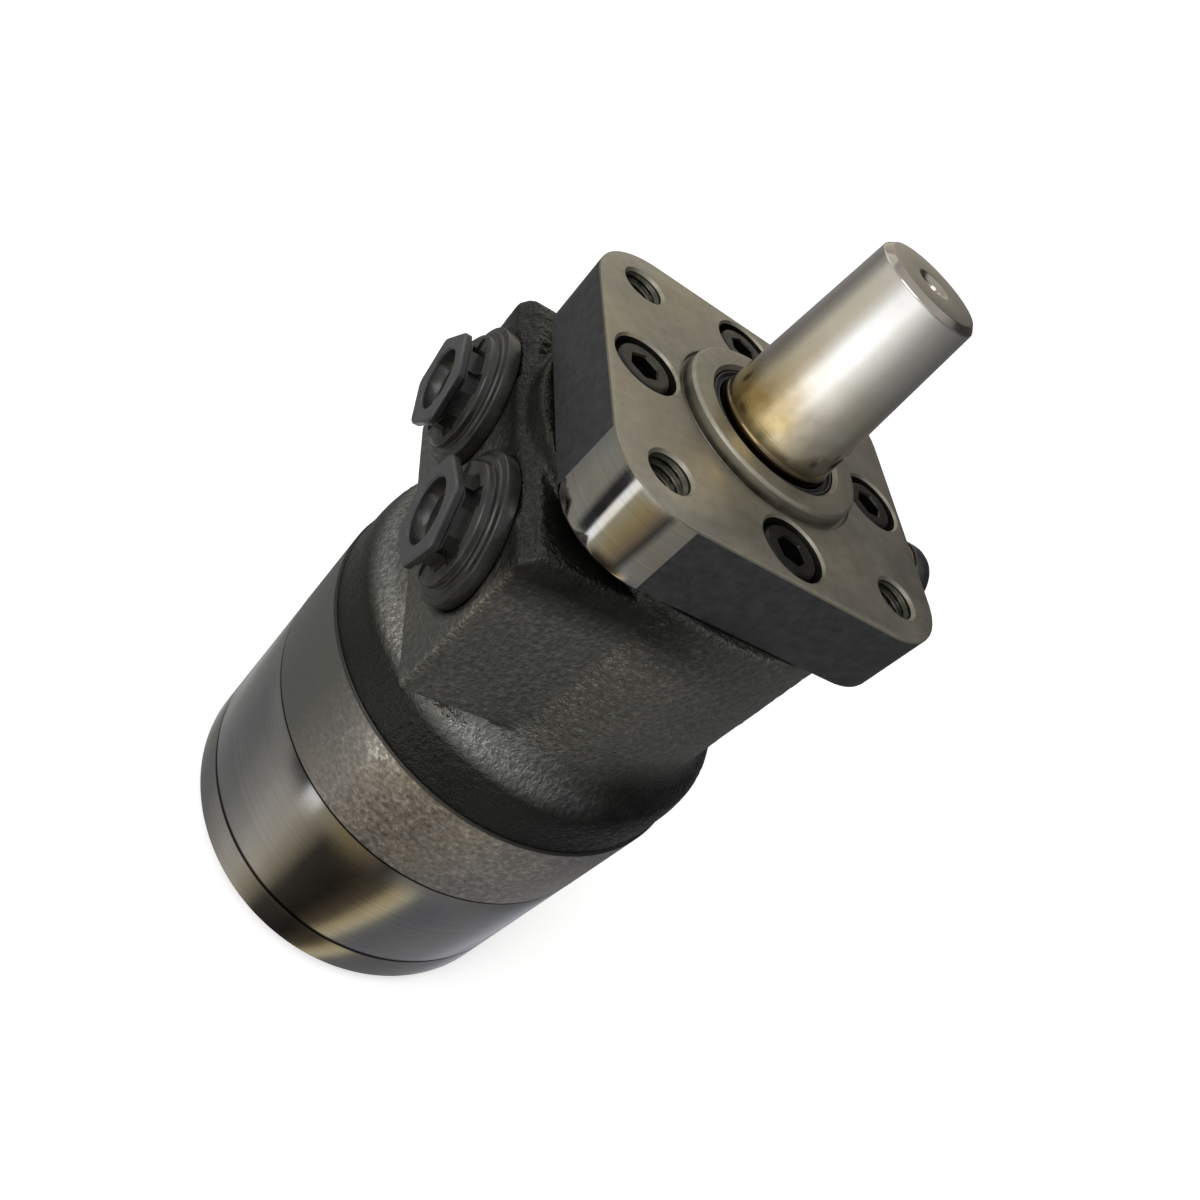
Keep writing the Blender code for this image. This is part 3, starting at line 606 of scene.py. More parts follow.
def ground_steel():
    made = Surface("gear_steel_ground", 1.0, 0.26)
    cloud = made.noise(180, 4, 0.6, stretch=(1.0, 1.0, 0.2))
    made.colour(made.ramp(cloud, [(0.3, (0.44, 0.44, 0.43)), (0.7, (0.62, 0.61, 0.59))]))
    made.roughness(made.grey(made.noise(350, 4), 0.18, 0.36))
    made.bump((made.noise(900, 3, stretch=(1.0, 1.0, 0.1)), 0.12, 0.00005))
    return made.material


def brass():
    made = Surface("brass_plain", 1.0, 0.32)
    cloud = made.noise(160, 4, 0.6)
    made.colour(made.ramp(cloud, [(0.3, (0.42, 0.29, 0.11)), (0.7, (0.68, 0.50, 0.22))]))
    made.roughness(made.grey(made.noise(300, 4), 0.24, 0.44))
    made.bump((made.noise(900, 3), 0.12, 0.00005))
    return made.material


def black_rubber():
    made = Surface("seal_rubber_black", 0.0, 0.55)
    cloud = made.noise(200, 4, 0.6)
    made.colour(made.ramp(cloud, [(0.3, (0.012, 0.012, 0.013)), (0.7, (0.028, 0.027, 0.027))]))
    made.roughness(made.grey(made.noise(400, 4), 0.42, 0.66))
    made.bump((made.noise(1300, 3), 0.20, 0.00008))
    return made.material


CAST_IRON = cast_iron()
BARREL_IRON = barrel_iron()
TURNED_STEEL = turned_steel()
POLISHED_STEEL = polished_steel()
FLANGE_FACED = flange_face()
FLANGE_SIDE = flange_side()
TURNED_CORNER = turned_corner()
BORED_IRON = bored_iron()
BLACK_PLASTIC = black_plastic()
BLACK_OXIDE = black_oxide()
ZINC_STEEL = zinc_steel()
GROUND_STEEL = ground_steel()
BRASS = brass()
BLACK_RUBBER = black_rubber()


# ---- casing ----
def make_cast_body():
    """Neck, shoulder and port block as one casting, with a sand-cast skin pushed into its mesh."""
    foot = BARREL_TOP - 0.0010
    neck = lathe("housing_casting", [
        (0.0, NECK_TOP), (NECK_R, NECK_TOP), (NECK_R, BAND_TOP + 0.0125),
        (NECK_R + 0.0007, BAND_TOP + 0.0075), (NECK_R + 0.0024, BAND_TOP + 0.0040),
        (NECK_R + 0.0049, BAND_TOP + 0.0020), (BAND_R - 0.0010, BAND_TOP),
        (BAND_R - 0.0004, BAND_TOP - 0.0035), (BAND_R, BARREL_TOP + 0.0005), (BAND_R, foot), (0.0, foot),
    ], soft=0.0012)
    low_corner, high_corner = (BLOCK_X, -BLOCK_HALF_Y, BLOCK_BOTTOM), (0.0, BLOCK_HALF_Y, BLOCK_TOP)
    ports = block("port_block", low_corner, high_corner, bevel=0.0016, segments=4)
    cut(ports, edge_cutter())
    boolean(neck, "UNION", ports)
    bore = lathe("bore", [(0.0, 0.16), (SPOOL_BORE_R, 0.16), (SPOOL_BORE_R, 0.07), (0.0, 0.07)], 0, 96)
    cut(neck, bore, port_cutter(1), port_cutter(-1))
    remesh = neck.modifiers.new("Even mesh", "REMESH")
    remesh.mode = "VOXEL"
    remesh.voxel_size = 0.0006
    smooth = neck.modifiers.new("Soft corners", "SMOOTH")
    smooth.iterations = 3
    apply_modifiers(neck)
    roughen(neck.data)
    neck.data.shade_smooth()
    return finish_piece(neck, "casing", [CAST_IRON])


def edge_cutter():
    """A cube that takes off the edge between the port face and the block's front, at 45 degrees."""
    side = 0.12
    outward = Vector((-1.0, 0.0, 1.0)).normalized()
    centre = Vector((BLOCK_X, 0.0, BLOCK_TOP)) + outward * (side - math.sqrt(2.0) * BLOCK_EDGE) / 2
    cube = block("edge_cut", (-side / 2,) * 3, (side / 2,) * 3)
    return moved(cube, Matrix.Translation(centre) @ Matrix.Rotation(math.pi / 4, 4, "Y"))


def on_port(side):
    """Puts a piece that is turned about Z on one port, with its +Z out of the port face."""
    return Matrix.Translation((BLOCK_X, side * PORT_Y, PORT_Z)) @ Matrix.Rotation(-math.pi / 2, 4, "Y")


def port_cutter(side):
    cutter = lathe("port_cutter", [
        (0.0, OVERCUT), (PORT_SPOT_R, OVERCUT), (PORT_SPOT_R, -PORT_SPOT_DEPTH), (PORT_R, -PORT_SPOT_DEPTH),
        (PORT_R, -0.0160), (0.0, -0.0160),
    ], 0, 72)
    return moved(cutter, on_port(side))


def roughen(mesh):
    """Push the cast skin in and out by a tenth of a millimetre or two, and leave the bored faces flat."""
    grain, fine_grain, swell = 560.0, 1150.0, 90.0      # cells of noise in a metre
    port_face_depth, cast_depth, swell_depth = 0.00004, 0.00013, 0.00012
    shift = Vector((7.0, 3.0, 5.0))
    normals = [vertex.normal.copy() for vertex in mesh.vertices]
    for vertex, normal in zip(mesh.vertices, normals):
        place = vertex.co
        if place.z > NECK_TOP - 0.0008 or place.xy.length < SPOOL_BORE_R + 0.0010:
            continue
        rough = noise.noise(place * grain) + 0.6 * noise.noise(place * fine_grain + shift)
        depth = port_face_depth if place.x < BLOCK_X + 0.0004 else cast_depth
        vertex.co = place + normal * depth * rough + normal * swell_depth * noise.noise(place * swell)


def make_barrel():
    """The turned foot of the housing, below the cast band."""
    link_bore_r, bore_floor = 0.0165, 0.0580
    barrel = lathe("housing_barrel", [
        (SPOOL_BORE_R, BARREL_TOP - 0.0020), (BAND_R - 0.0020, BARREL_TOP - 0.0020),
        (BAND_R - 0.0004, BARREL_TOP), (BODY_R - 0.0003, BARREL_TOP), (BODY_R, BARREL_TOP - 0.0004),
        (BODY_R, HOUSING_LOW.z), (link_bore_r, HOUSING_LOW.z), (link_bore_r, bore_floor),
        (SPOOL_BORE_R, bore_floor),
    ], soft=0.00008, closed=True)
    return finish_piece(barrel, "casing", [BARREL_IRON], nodes=["housing"])


def round_cutter(name, radius, low, high, sides, place):
    """An upright cylinder that opens a hole right through from `low` to `high`."""
    top, bottom = high + OVERCUT, low - OVERCUT
    cutter = lathe(name, [(0.0, top), (radius, top), (radius, bottom), (0.0, bottom)], 0, sides)
    return moved(cutter, Matrix.Translation(place))


def make_stator_ring():
    low, high = STATOR_LOW.z, STATOR_HIGH.z
    inner_r = 0.0303
    ring = lathe("stator_ring_turned", [
        (BODY_R - 0.00005, high), (BODY_R - 0.00005, low), (inner_r, low), (inner_r, high),
    ], soft=0.00006, closed=True)
    pockets = []
    for index, bolt_angle in enumerate(bolt_angles()):
        roller_at = on_circle(ROLLER_CIRCLE_R, index * math.tau / BOLT_COUNT)
        pockets.append(round_cutter("pocket", ROLLER_POCKET_R, low, high, 48, roller_at))
        pockets.append(round_cutter("hole", BOLT_HOLE_R, low, high, 32, on_circle(BOLT_CIRCLE_R, bolt_angle)))
    cut(ring, merged("pockets", pockets))
    return finish_piece(ring, "casing", [TURNED_STEEL], nodes=["stator_ring"])


def make_end_cover():
    top = COVER_HIGH.z
    cover = lathe("end_cover_turned", [
        (0.0, top), (BODY_R - 0.0010, top), (BODY_R - 0.00005, top - 0.00002), (BODY_R - 0.00005, 0.0007),
        (BODY_R - 0.0007, 0.0), (0.0180, 0.0), (0.0176, 0.0004), (0.0, 0.0004),
    ], soft=0.00008)
    tools = []
    for angle in bolt_angles():
        cutter = lathe("spot", [
            (0.0, -OVERCUT), (BOLT_SPOT_R + 0.0003, -OVERCUT), (BOLT_SPOT_R + 0.0003, 0.0),
            (BOLT_SPOT_R, 0.0003), (BOLT_SPOT_R, BOLT_SPOT_DEPTH), (BOLT_HOLE_R, BOLT_SPOT_DEPTH),
            (BOLT_HOLE_R, top + OVERCUT), (0.0, top + OVERCUT),
        ], 0, 64)
        tools.append(moved(cutter, Matrix.Translation(on_circle(BOLT_CIRCLE_R, angle))))
    cut(cover, merged("spots", tools))
    return finish_piece(cover, "casing", [TURNED_STEEL], nodes=["end_cover"])


# ---- flange ----
def flange_outline(inset, height):
    """A square with rounded corners, and a row of points along each straight side."""
    steps, side_steps = 24, 8
    reach = FLANGE_HALF - CORNER_R
    outline = []
    for base in quarter_angles():
        centre = on_circle(math.sqrt(2.0) * reach, base + math.pi / 4, height)
        for step in range(steps + 1):
            outline.append(centre + on_circle(CORNER_R - inset, base + math.pi / 2 * step / steps))
        start, along = outline[-1], on_circle(2 * reach, base + math.pi)
        outline += [start + along * step / side_steps for step in range(1, side_steps)]
    return outline


def make_flange():
    low, top = FLANGE_LOW.z, FLANGE_FACE
    sections = [
        (0.0005, low), (0.0001, low + 0.0002), (0.0, low + 0.0006),
        (0.0, top - 0.0006), (0.0001, top - 0.0002), (0.0006, top),
    ]
    plate = loft("mounting_flange_iron", [flange_outline(inset, height) for inset, height in sections])
    pilot = lathe("pilot", [
        (0.0, PILOT_TOP), (PILOT_R - 0.0006, PILOT_TOP), (PILOT_R, PILOT_TOP - 0.0006),
        (PILOT_R, top - 0.003), (0.0, top - 0.003),
    ], soft=0.0002)
    boolean(plate, "UNION", pilot)
    relief = lathe("pilot_relief", [
        (PILOT_R - 0.00002, top + 0.0005), (PILOT_R + 0.0011, top + 0.0005), (PILOT_R + 0.0011, top - 0.0003),
        (PILOT_R + 0.0008, top - 0.0007), (PILOT_R + 0.0002, top - 0.0007), (PILOT_R - 0.00002, top - 0.0004),
    ], soft=0, closed=True)
    mouth_r, shaft_hole_r, rear_bore_r = SEAL_BORE_R + 0.0008, 0.0144, 0.0184
    seal_floor, rear_bore_top, below, above = 0.1673, 0.1592, 0.1490, 0.1750
    bore = lathe("bore", [
        (0.0, above), (mouth_r, above), (mouth_r, PILOT_TOP + 0.00001), (SEAL_BORE_R, PILOT_TOP - 0.0008),
        (SEAL_BORE_R, seal_floor), (shaft_hole_r, seal_floor), (shaft_hole_r, rear_bore_top),
        (rear_bore_r, rear_bore_top), (rear_bore_r, below), (0.0, below),
    ], 0, 128)
    cut(plate, relief, bore, merged("hole_cutters", flange_cutters(low, top)))
    surfaces = [FLANGE_FACED, FLANGE_SIDE, TURNED_CORNER, BORED_IRON]
    return finish_piece(plate, "casing", surfaces, flange_surface, ["mounting_flange"])


def flange_cutters(low, top):
    """Cutters of the four threaded holes, the four counterbored holes and the drain hole."""
    below, above = low - OVERCUT, top + OVERCUT
    mouth_r, sunk_mouth_r = MOUNT_HOLE_R + 0.0006, COUNTERBORE_R + 0.0005
    tools = []
    for angle in quarter_angles(math.pi / 4):
        threaded = lathe("threaded", [
            (0.0, below), (MOUNT_HOLE_R, below), (MOUNT_HOLE_R, top - 0.0006), (mouth_r, top),
            (mouth_r, above), (0.0, above),
        ], 0, 72)
        tools.append(moved(threaded, Matrix.Translation(on_circle(MOUNT_CIRCLE_R, angle))))
    for angle in quarter_angles():
        sunk = lathe("sunk", [
            (0.0, below), (SCREW_HOLE_R, below), (SCREW_HOLE_R, COUNTERBORE_FLOOR),
            (COUNTERBORE_R, COUNTERBORE_FLOOR), (COUNTERBORE_R, top - 0.0005), (sunk_mouth_r, top),
            (sunk_mouth_r, above), (0.0, above),
        ], 0, 96)
        tools.append(moved(sunk, Matrix.Translation(on_circle(SCREW_CIRCLE_R, angle))))
    drain = lathe("drain_hole", [
        (0.0, -DRAIN_DEPTH), (DRAIN_HOLE_R, -DRAIN_DEPTH), (DRAIN_HOLE_R, OVERCUT), (0.0, OVERCUT),
    ], 0, 48)
    tools.append(moved(drain, drain_place()))
    return tools


def drain_place():
    """Puts a piece that is turned about Z on the flange's +X side, with its +Z pointing out."""
    return Matrix.Translation((FLANGE_HALF, DRAIN_Y, DRAIN_Z)) @ Matrix.Rotation(math.pi / 2, 4, "Y")


def flange_surface(middle):
    """Which of the flange's four materials the face with this middle gets, by number."""
    faced, cast_side, turned, bored = range(4)
    holes = [(on_circle(MOUNT_CIRCLE_R, angle), MOUNT_HOLE_R) for angle in quarter_angles(math.pi / 4)]
    holes += [(on_circle(SCREW_CIRCLE_R, angle), COUNTERBORE_R) for angle in quarter_angles()]
    holes.append((Vector((0.0, 0.0, 0.0)), SEAL_BORE_R + 0.0001))
    for centre, radius in holes:
        if (middle.xy - centre.xy).length < radius + 0.00005 and middle.z < PILOT_TOP - 0.0004:
            return bored
    if middle.z > FLANGE_FACE - 0.0010:
        return faced
    if max(middle.x, middle.y) < CORNER_R - FLANGE_HALF:
        return turned
    return cast_side


def thread_sleeve(name, major_r, depth, low, high, sides=64, samples=10):
    """A thin sleeve that lines a hole, with one helical V thread cut on its inside."""
    shape = bmesh.new()
    flat, runout = 0.12, 0.0012
    rows = int((high - low) / THREAD_PITCH * samples)
    rings = []
    for row in range(rows + 1):
        height = low + (high - low) * row / rows
        ring = []
        for side in range(sides):
            phase = (height / THREAD_PITCH - side / sides) % 1.0
            ridge = min(max((abs(2 * phase - 1) - flat) / (1 - 2 * flat), 0.0), 1.0)
            fade = min(1.0, (high - height) / runout)
            radius = major_r - depth * ridge * fade
            ring.append(shape.verts.new(on_circle(radius, math.tau * side / sides, height)))
        rings.append(ring)
    for height in (high, low):
        rings.append([shape.verts.new(point) for point in circle(major_r + GAP, height, sides)])
    for first, second in zip(rings, rings[1:] + rings[:1]):
        for side in range(sides):
            following = (side + 1) % sides
            shape.faces.new((first[side], first[following], second[following], second[side]))
    return object_from(name, shape, 50)


def make_threads():
    for number, angle in enumerate(quarter_angles(math.pi / 4), start=1):
        sleeve = thread_sleeve("mounting_thread_%d" % number, MOUNT_HOLE_R - 0.00001, THREAD_DEPTH,
                               FLANGE_LOW.z + 0.0002, FLANGE_FACE - 0.0007)
        moved(sleeve, Matrix.Translation(on_circle(MOUNT_CIRCLE_R, angle)))
        finish_piece(sleeve, "casing", [BORED_IRON])


# ---- shaft ----
def make_shaft():
    """Tapered shaft end, journal and hollow valve spool in one, with a centre drilling in its end."""
    end = SHAFT_TOP
    tip_r, base_r, journal_r, hollow_r, socket_r = 0.01145, 0.0137, 0.0140, 0.0128, 0.0114
    spool_low, spool_high, socket_low, socket_high = 0.0583, 0.1413, 0.1000, 0.1195
    grooves = []
    for low, high in ((0.1140, 0.1200), (0.0640, 0.0700)):
        grooves += [(SPOOL_R, high), (SPOOL_GROOVE_R, high), (SPOOL_GROOVE_R, low), (SPOOL_R, low)]
    shaft = lathe("output_shaft_ground", [
        (0.0, end - 0.0048), (0.0010, end - 0.0048), (0.0010, end - 0.0034), (0.0026, end - 0.0007),
        (0.0036, end), (tip_r - 0.0012, end), (tip_r, end - 0.0012), (base_r, 0.1722), (journal_r, 0.1718),
        (journal_r, spool_high), (SPOOL_R, spool_high), *grooves, (SPOOL_R, spool_low), (hollow_r, spool_low),
        (hollow_r, socket_low - 0.0010), (socket_r, socket_low), (socket_r, socket_high), (0.0, socket_high),
    ], soft=0.00022, sides=160)
    slots = []
    slot_count, slot_half = 12, 0.0020
    for index in range(slot_count):
        low, high = (0.0830, 0.1150) if index % 2 else (0.0690, 0.1000)
        slot = block("slot", (0.0197, -slot_half, low), (0.0223, slot_half, high))
        slots.append(moved(slot, Matrix.Rotation(index * math.tau / slot_count, 4, "Z")))
    cut(shaft, merged("slots", slots))
    return finish_piece(shaft, "shaft", [POLISHED_STEEL], nodes=["output_shaft"])


def make_dust_seal():
    top = PILOT_TOP - 0.0008
    seal = lathe("dust_seal_lip", [
        (0.0160, top), (0.0160, 0.1677), (0.0144, 0.1677), (0.0144, 0.1692), (0.01425, top - 0.0006),
        (0.0146, top - 0.0002), (0.0150, top - 0.0009), (0.0153, top - 0.0009), (0.0156, top),
    ], soft=0.00015, closed=True)
    return finish_piece(seal, "casing", [BLACK_RUBBER], nodes=["dust_seal"])


# ---- fasteners and plugs ----
def hexagon(radius, height, soft=0.0003):
    corners = [tuple(on_circle(radius, corner * math.pi / 3).xy) for corner in range(6)]
    return [(x, y, height) for x, y in softened(corners, soft, closed=True)]


def make_flange_screws():
    seat = COUNTERBORE_FLOOR + GAP
    for number, angle in enumerate(quarter_angles(math.pi), start=1):
        screw = lathe("flange_screw_%d_cap" % number, [
            (0.0, SCREW_HEAD_H), (0.0046, SCREW_HEAD_H), (SCREW_HEAD_R - 0.0007, SCREW_HEAD_H),
            (SCREW_HEAD_R, SCREW_HEAD_H - 0.0007), (SCREW_HEAD_R, 0.0002), (SCREW_HEAD_R - 0.0002, 0.0),
            (SCREW_SHANK_R, 0.0), (SCREW_SHANK_R, -0.0275), (SCREW_SHANK_R - 0.0008, -0.0284),
            (0.0, -0.0284),
        ], soft=0.00025, sides=96)
        top = SCREW_HEAD_H
        socket = loft("socket", [
            hexagon(0.0035, top - 0.0042), hexagon(0.0035, top - 0.0004), hexagon(0.0039, top + 0.0001),
            hexagon(0.0039, top + 0.001),
        ])
        point_top = top - 0.0040
        point = lathe("drill_point", [(0.0, top - 0.0056), (0.0030, point_top), (0.0, point_top)], 0, 36)
        cut(screw, socket, point)
        place = Matrix.Translation(on_circle(SCREW_CIRCLE_R, angle, seat))
        moved(screw, place @ Matrix.Rotation(0.4 * number, 4, "Z"))
        finish_piece(screw, "casing", [BLACK_OXIDE], nodes=["flange_screw_%d" % number])


def hex_head(name, flats, low, high):
    """A hex head whose corners are turned off at 30 degrees on the side that faces out, at `low`."""
    corner_r = flats / math.sqrt(3)
    head = loft(name, [hexagon(corner_r, low), hexagon(corner_r, high)])
    face_r, over = flats / 2 * 0.96, corner_r + OVERCUT
    drop = (over - face_r) * math.tan(math.radians(30))
    cone = lathe("cone", [
        (0.0, low), (face_r, low), (over, low + drop), (over, high + OVERCUT), (0.0, high + OVERCUT),
    ], 0, 96)
    return boolean(head, "INTERSECT", cone)


def make_cover_bolts():
    washer_top = WASHER_HIGH.z
    head_top = WASHER_LOW.z - GAP
    for number, angle in enumerate(bolt_angles(), start=1):
        place = Matrix.Rotation(angle, 4, "Z") @ Matrix.Translation((BOLT_CIRCLE_R, 0.0, 0.0))
        head = hex_head("cover_bolt_%d_head" % number, BOLT_HEAD_FLATS, BOLT_LOW.z, head_top)
        shank = lathe("shank", [
            (0.0, head_top - 0.001), (BOLT_SHANK_R, head_top - 0.001), (BOLT_SHANK_R, 0.0674),
            (BOLT_SHANK_R - 0.0006, BOLT_HIGH.z), (0.0, BOLT_HIGH.z),
        ], soft=0.0001, sides=48)
        boolean(head, "UNION", shank)
        moved(head, place @ Matrix.Rotation(0.7 * number, 4, "Z"))
        finish_piece(head, "casing", [ZINC_STEEL], nodes=["cover_bolt_%d" % number])
        washer = lathe("cover_washer_%d_flat" % number, [
            (WASHER_R, washer_top), (WASHER_R, WASHER_LOW.z), (BOLT_HOLE_R, WASHER_LOW.z),
            (BOLT_HOLE_R, washer_top),
        ], soft=0.0002, sides=72, closed=True)
        moved(washer, place)
        finish_piece(washer, "casing", [ZINC_STEEL], nodes=["cover_washer_%d" % number])


def make_port_plugs():
    """Moulded plugs: a stepped collar and a notched hex head with a dished end."""
    seat = GAP - PORT_SPOT_DEPTH
    corner_r = PLUG_HEAD_FLATS / math.sqrt(3)
    for letter, side in (("a", 1), ("b", -1)):
        plug = lathe("port_plug_%s_moulded" % letter, [
            (0.0, 0.0060), (0.0118, 0.0060), (0.0132, 0.0050), (0.0132, 0.0036), (0.0146, 0.0036),
            (0.0148, 0.0031), (0.0162, 0.0029), (0.0162, seat), (PORT_R - GAP, seat), (PORT_R - GAP, -0.0120),
            (0.0090, -0.0130), (0.0, -0.0130),
        ], soft=0.0004, sides=128)
        sections = [
            (corner_r - 0.0012, 0.0050), (corner_r - 0.0012, 0.0082), (corner_r, 0.0088), (corner_r, 0.0101),
            (corner_r - 0.0004, 0.0105),
        ]
        head = loft("head", [hexagon(radius, height, soft=0.0012) for radius, height in sections])
        boolean(plug, "UNION", head)
        dish = lathe("dish", [
            (0.0, 0.0070), (0.0062, 0.0072), (0.0068, 0.0080), (0.0070, 0.0101), (0.0075, 0.0106),
            (0.0075, 0.0120), (0.0, 0.0120),
        ], 0, 72)
        cut(plug, dish)
        for turn in range(6):
            notch = block("notch", (0.0080, -0.0022, 0.0056), (0.0150, 0.0022, 0.0078))
            cut(plug, moved(notch, Matrix.Rotation(turn * math.pi / 3, 4, "Z")))
        moved(plug, on_port(side) @ Matrix.Rotation(0.3 * side, 4, "Z"))
        finish_piece(plug, "casing", [BLACK_PLASTIC], nodes=["port_plug_" + letter])


def make_drain_plug():
    """A domed cap with a hex socket, screwed into the flange's +X side."""
    base, shank_r = 0.0016, DRAIN_HOLE_R - GAP
    plug = lathe("drain_plug_domed", [
        (0.0, 0.0085), (0.0040, 0.0085), (0.0062, 0.0080), (0.0078, 0.0068), (DRAIN_HEAD_R, 0.0048),
        (DRAIN_HEAD_R, base), (shank_r, base), (shank_r, -0.0036), (0.0, -0.0038),
    ], soft=0.0006, sides=96)
    sections = [(0.0029, 0.0045), (0.0029, 0.0082), (0.0034, 0.0087), (0.0034, 0.0095)]
    cut(plug, loft("socket", [hexagon(radius, height) for radius, height in sections]))
    moved(plug, drain_place())
    return finish_piece(plug, "casing", [BLACK_PLASTIC], nodes=["drain_plug"])


def paint_kept_nodes():
    """Procedural finishes for the CAD nodes that stay as they are."""
    finishes = {
        "ground_steel": GROUND_STEEL, "zinc_steel": ZINC_STEEL, "brass": BRASS, "black_rubber": BLACK_RUBBER,
        "black_plastic": BLACK_PLASTIC, "black_oxide_steel": BLACK_OXIDE, "turned_steel": TURNED_STEEL,
        "polished_steel": POLISHED_STEEL, "flange_iron": FLANGE_SIDE, "cast_iron": CAST_IRON,
    }
    for part in frame["record"]["subparts"]:
        node = frame["nodes"][part["node"]]
        for holder in node.material_slots:
            holder.material = finishes[part["material_slot"]]


# ---- studio ----
def make_camera():
    forward = Vector((0.47777, 0.66279, -0.57659)).normalized()
    right = forward.cross(Vector((-0.37006, 0.74711, 0.55216))).normalized()
    up = right.cross(forward)
    data = bpy.data.cameras.new("camera")
    data.lens = 31.24
    data.sensor_width = 36.0
    data.clip_start = 0.01
    camera = make_object("camera", data)
    axes = Matrix((right, up, -forward)).transposed().to_4x4()
    camera.matrix_world = Matrix.Translation((-0.11625, -0.16343, 0.25192)) @ axes
    bpy.context.scene.camera = camera


def make_floor():
    """A white ground under the motor that only the camera sees."""
    shape = bmesh.new()
    bmesh.ops.create_grid(shape, x_segments=8, y_segments=8, size=4.0)
    floor = object_from("studio_floor", shape)
    floor.location.z = BOLT_LOW.z - 0.0002
    made = Surface("studio_floor_pale", 0.0, 0.9, 0.0)
    made.colour(made.grey(made.noise(3, 2), 0.90, 0.92))
    made.shader.inputs["Emission Color"].default_value = (1.0, 1.0, 1.0, 1.0)
    made.shader.inputs["Emission Strength"].default_value = 0.45
    floor.data.materials.append(made.material)
    floor.visible_glossy = False
    floor.visible_diffuse = False
    floor.visible_shadow = False


def soft_light(name, place, size, power, colour=(1.0, 1.0, 1.0)):
    data = bpy.data.lights.new(name, "AREA")
    data.shape = "SQUARE"
    data.size = size
    data.energy = power
    data.color = colour
    light = make_object(name, data)
    light.location = place
    light.rotation_euler = (Vector((0.0, 0.0, 0.10)) - Vector(place)).to_track_quat("-Z", "Y").to_euler()
    light.visible_camera = False


# What lies round the motor at four heights, as (share of a turn from -X by way of -Y, red, green, blue).
AROUND_SHAFT = [
    (0.000, 0.66, 0.60, 0.48), (0.040, 0.90, 0.86, 0.78), (0.090, 1.75, 1.78, 1.84),
    (0.160, 1.75, 1.78, 1.84), (0.207, 1.10, 1.10, 1.06), (0.263, 0.70, 0.70, 0.66),
    (0.318, 0.40, 0.39, 0.36), (0.374, 0.26, 0.26, 0.24), (0.450, 0.17, 0.17, 0.16),
    (0.510, 0.12, 0.12, 0.12), (0.600, 0.12, 0.12, 0.12), (0.700, 0.25, 0.25, 0.25),
    (0.763, 0.24, 0.23, 0.22), (0.818, 0.20, 0.19, 0.18), (0.874, 0.32, 0.30, 0.27),
    (0.930, 0.62, 0.59, 0.47),
]
AROUND_FLANGE = [
    (0.000, 0.34, 0.33, 0.29), (0.014, 0.22, 0.22, 0.20), (0.032, 0.04, 0.04, 0.04),
    (0.064, 0.03, 0.03, 0.03), (0.076, 1.50, 1.52, 1.55), (0.096, 1.50, 1.50, 1.45),
    (0.108, 0.50, 0.47, 0.36), (0.165, 0.40, 0.33, 0.18), (0.212, 0.24, 0.19, 0.14),
    (0.240, 0.06, 0.06, 0.06), (0.270, 0.30, 0.30, 0.28), (0.350, 0.26, 0.26, 0.26),
    (0.450, 0.15, 0.15, 0.15), (0.600, 0.15, 0.15, 0.15), (0.700, 0.25, 0.25, 0.25),
    (0.780, 0.22, 0.22, 0.22), (0.850, 0.26, 0.26, 0.24), (0.930, 0.34, 0.34, 0.31),
]
AROUND_BARREL = [
    (0.000, 0.45, 0.43, 0.39), (0.035, 0.62, 0.59, 0.53), (0.075, 0.66, 0.60, 0.50),
    (0.110, 0.42, 0.37, 0.28), (0.145, 0.06, 0.055, 0.05), (0.215, 0.02, 0.018, 0.015),
    (0.264, 0.12, 0.095, 0.06), (0.284, 0.76, 0.62, 0.36), (0.302, 0.80, 0.72, 0.50),
    (0.322, 0.21, 0.21, 0.21), (0.355, 0.19, 0.195, 0.215), (0.430, 0.24, 0.25, 0.28),
    (0.485, 0.27, 0.28, 0.31), (0.550, 0.42, 0.43, 0.47), (0.700, 0.50, 0.50, 0.50),
    (0.790, 0.26, 0.27, 0.27), (0.870, 0.22, 0.22, 0.22), (0.930, 0.25, 0.25, 0.24),
]
AROUND_ABOVE = [
    (0.000, 0.70, 0.69, 0.66), (0.100, 0.85, 0.85, 0.85), (0.180, 1.00, 0.98, 0.95),
    (0.280, 0.35, 0.35, 0.36), (0.420, 0.12, 0.12, 0.13), (0.580, 0.08, 0.08, 0.08),
    (0.635, 0.14, 0.13, 0.12), (0.685, 0.80, 0.75, 0.62), (0.750, 0.80, 0.76, 0.66),
    (0.820, 0.40, 0.40, 0.38), (0.920, 0.70, 0.70, 0.68),
]


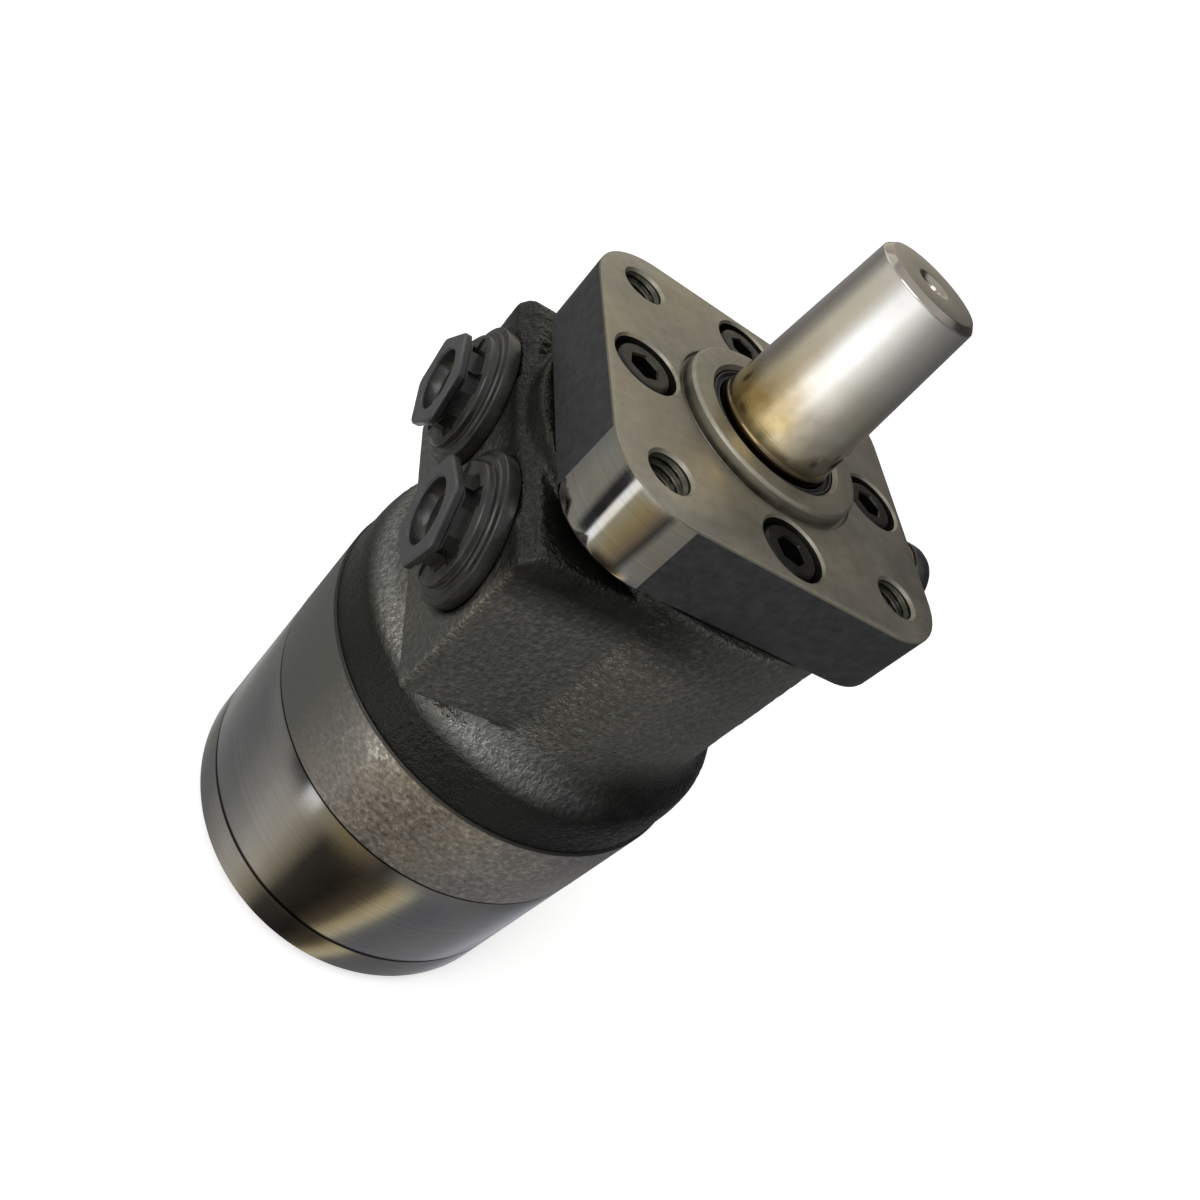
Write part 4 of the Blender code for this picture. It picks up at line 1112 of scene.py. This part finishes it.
def make_world():
    """A white backdrop for the camera; for reflections, soft lights and dark gaps all round."""
    world = bpy.data.worlds.new("studio")
    world.use_nodes = True
    tree = world.node_tree
    nodes, links = tree.nodes, tree.links
    nodes.clear()
    direction = nodes.new("ShaderNodeTexCoord").outputs["Generated"]
    split = nodes.new("ShaderNodeSeparateXYZ")
    links.new(direction, split.inputs[0])
    angle = nodes.new("ShaderNodeMath")
    angle.operation = "ARCTAN2"
    links.new(split.outputs["Y"], angle.inputs[0])
    links.new(split.outputs["X"], angle.inputs[1])
    turn = nodes.new("ShaderNodeMapRange")
    turn.inputs["From Min"].default_value = -math.pi
    turn.inputs["From Max"].default_value = math.pi
    links.new(angle.outputs[0], turn.inputs["Value"])

    def around(stops):
        """Colour by the direction's angle about Z; the last stop runs on into the first."""
        stops = stops + [(1.0, *stops[0][1:])]
        ramp = nodes.new("ShaderNodeValToRGB")
        elements = ramp.color_ramp.elements
        for stop in stops[2:]:
            elements.new(stop[0])
        for element, (position, *colour) in zip(elements, stops):
            element.position = position
            element.color = (*colour, 1.0)
        links.new(turn.outputs["Result"], ramp.inputs["Fac"])
        return ramp.outputs["Color"]

    def blend(low, high, first, second):
        """The first colour below one slope of the direction, the second above another."""
        share = nodes.new("ShaderNodeMapRange")
        share.interpolation_type = "SMOOTHSTEP"
        share.inputs["From Min"].default_value = low
        share.inputs["From Max"].default_value = high
        links.new(split.outputs["Z"], share.inputs["Value"])
        mix = nodes.new("ShaderNodeMix")
        mix.data_type = "RGBA"
        links.new(share.outputs["Result"], mix.inputs[0])
        for socket, value in ((mix.inputs[6], first), (mix.inputs[7], second)):
            if isinstance(value, tuple):
                socket.default_value = (*value, 1.0)
            else:
                links.new(value, socket)
        return mix.outputs[2]

    lower = blend(-0.74, -0.68, around(AROUND_BARREL), around(AROUND_FLANGE))
    level = blend(-0.30, -0.19, lower, around(AROUND_SHAFT))
    middle = blend(-0.12, 0.10, level, around(AROUND_ABOVE))
    whole = blend(0.60, 0.90, middle, (0.85, 0.85, 0.86))
    surroundings = nodes.new("ShaderNodeBackground")
    links.new(whole, surroundings.inputs["Color"])
    backdrop = nodes.new("ShaderNodeBackground")
    backdrop.inputs["Color"].default_value = (1.0, 1.0, 1.0, 1.0)
    seen = nodes.new("ShaderNodeLightPath").outputs["Is Camera Ray"]
    choice = nodes.new("ShaderNodeMixShader")
    links.new(seen, choice.inputs[0])
    links.new(surroundings.outputs[0], choice.inputs[1])
    links.new(backdrop.outputs[0], choice.inputs[2])
    output = nodes.new("ShaderNodeOutputWorld")
    links.new(choice.outputs[0], output.inputs["Surface"])
    bpy.context.scene.world = world


def make_studio():
    make_camera()
    make_floor()
    make_world()
    soft_light("key_light", (-0.70, -0.35, 0.95), 0.70, 4.0)
    soft_light("fill_light", (0.85, -0.55, 0.75), 0.80, 0.2)
    soft_light("back_light", (-0.60, 0.95, 0.80), 0.80, 1.5)
    bpy.context.scene.view_settings.view_transform = "Standard"


make_cast_body()
make_barrel()
make_stator_ring()
make_end_cover()
make_flange()
make_threads()
make_shaft()
make_dust_seal()
make_flange_screws()
make_cover_bolts()
make_port_plugs()
make_drain_plug()
paint_kept_nodes()
make_studio()
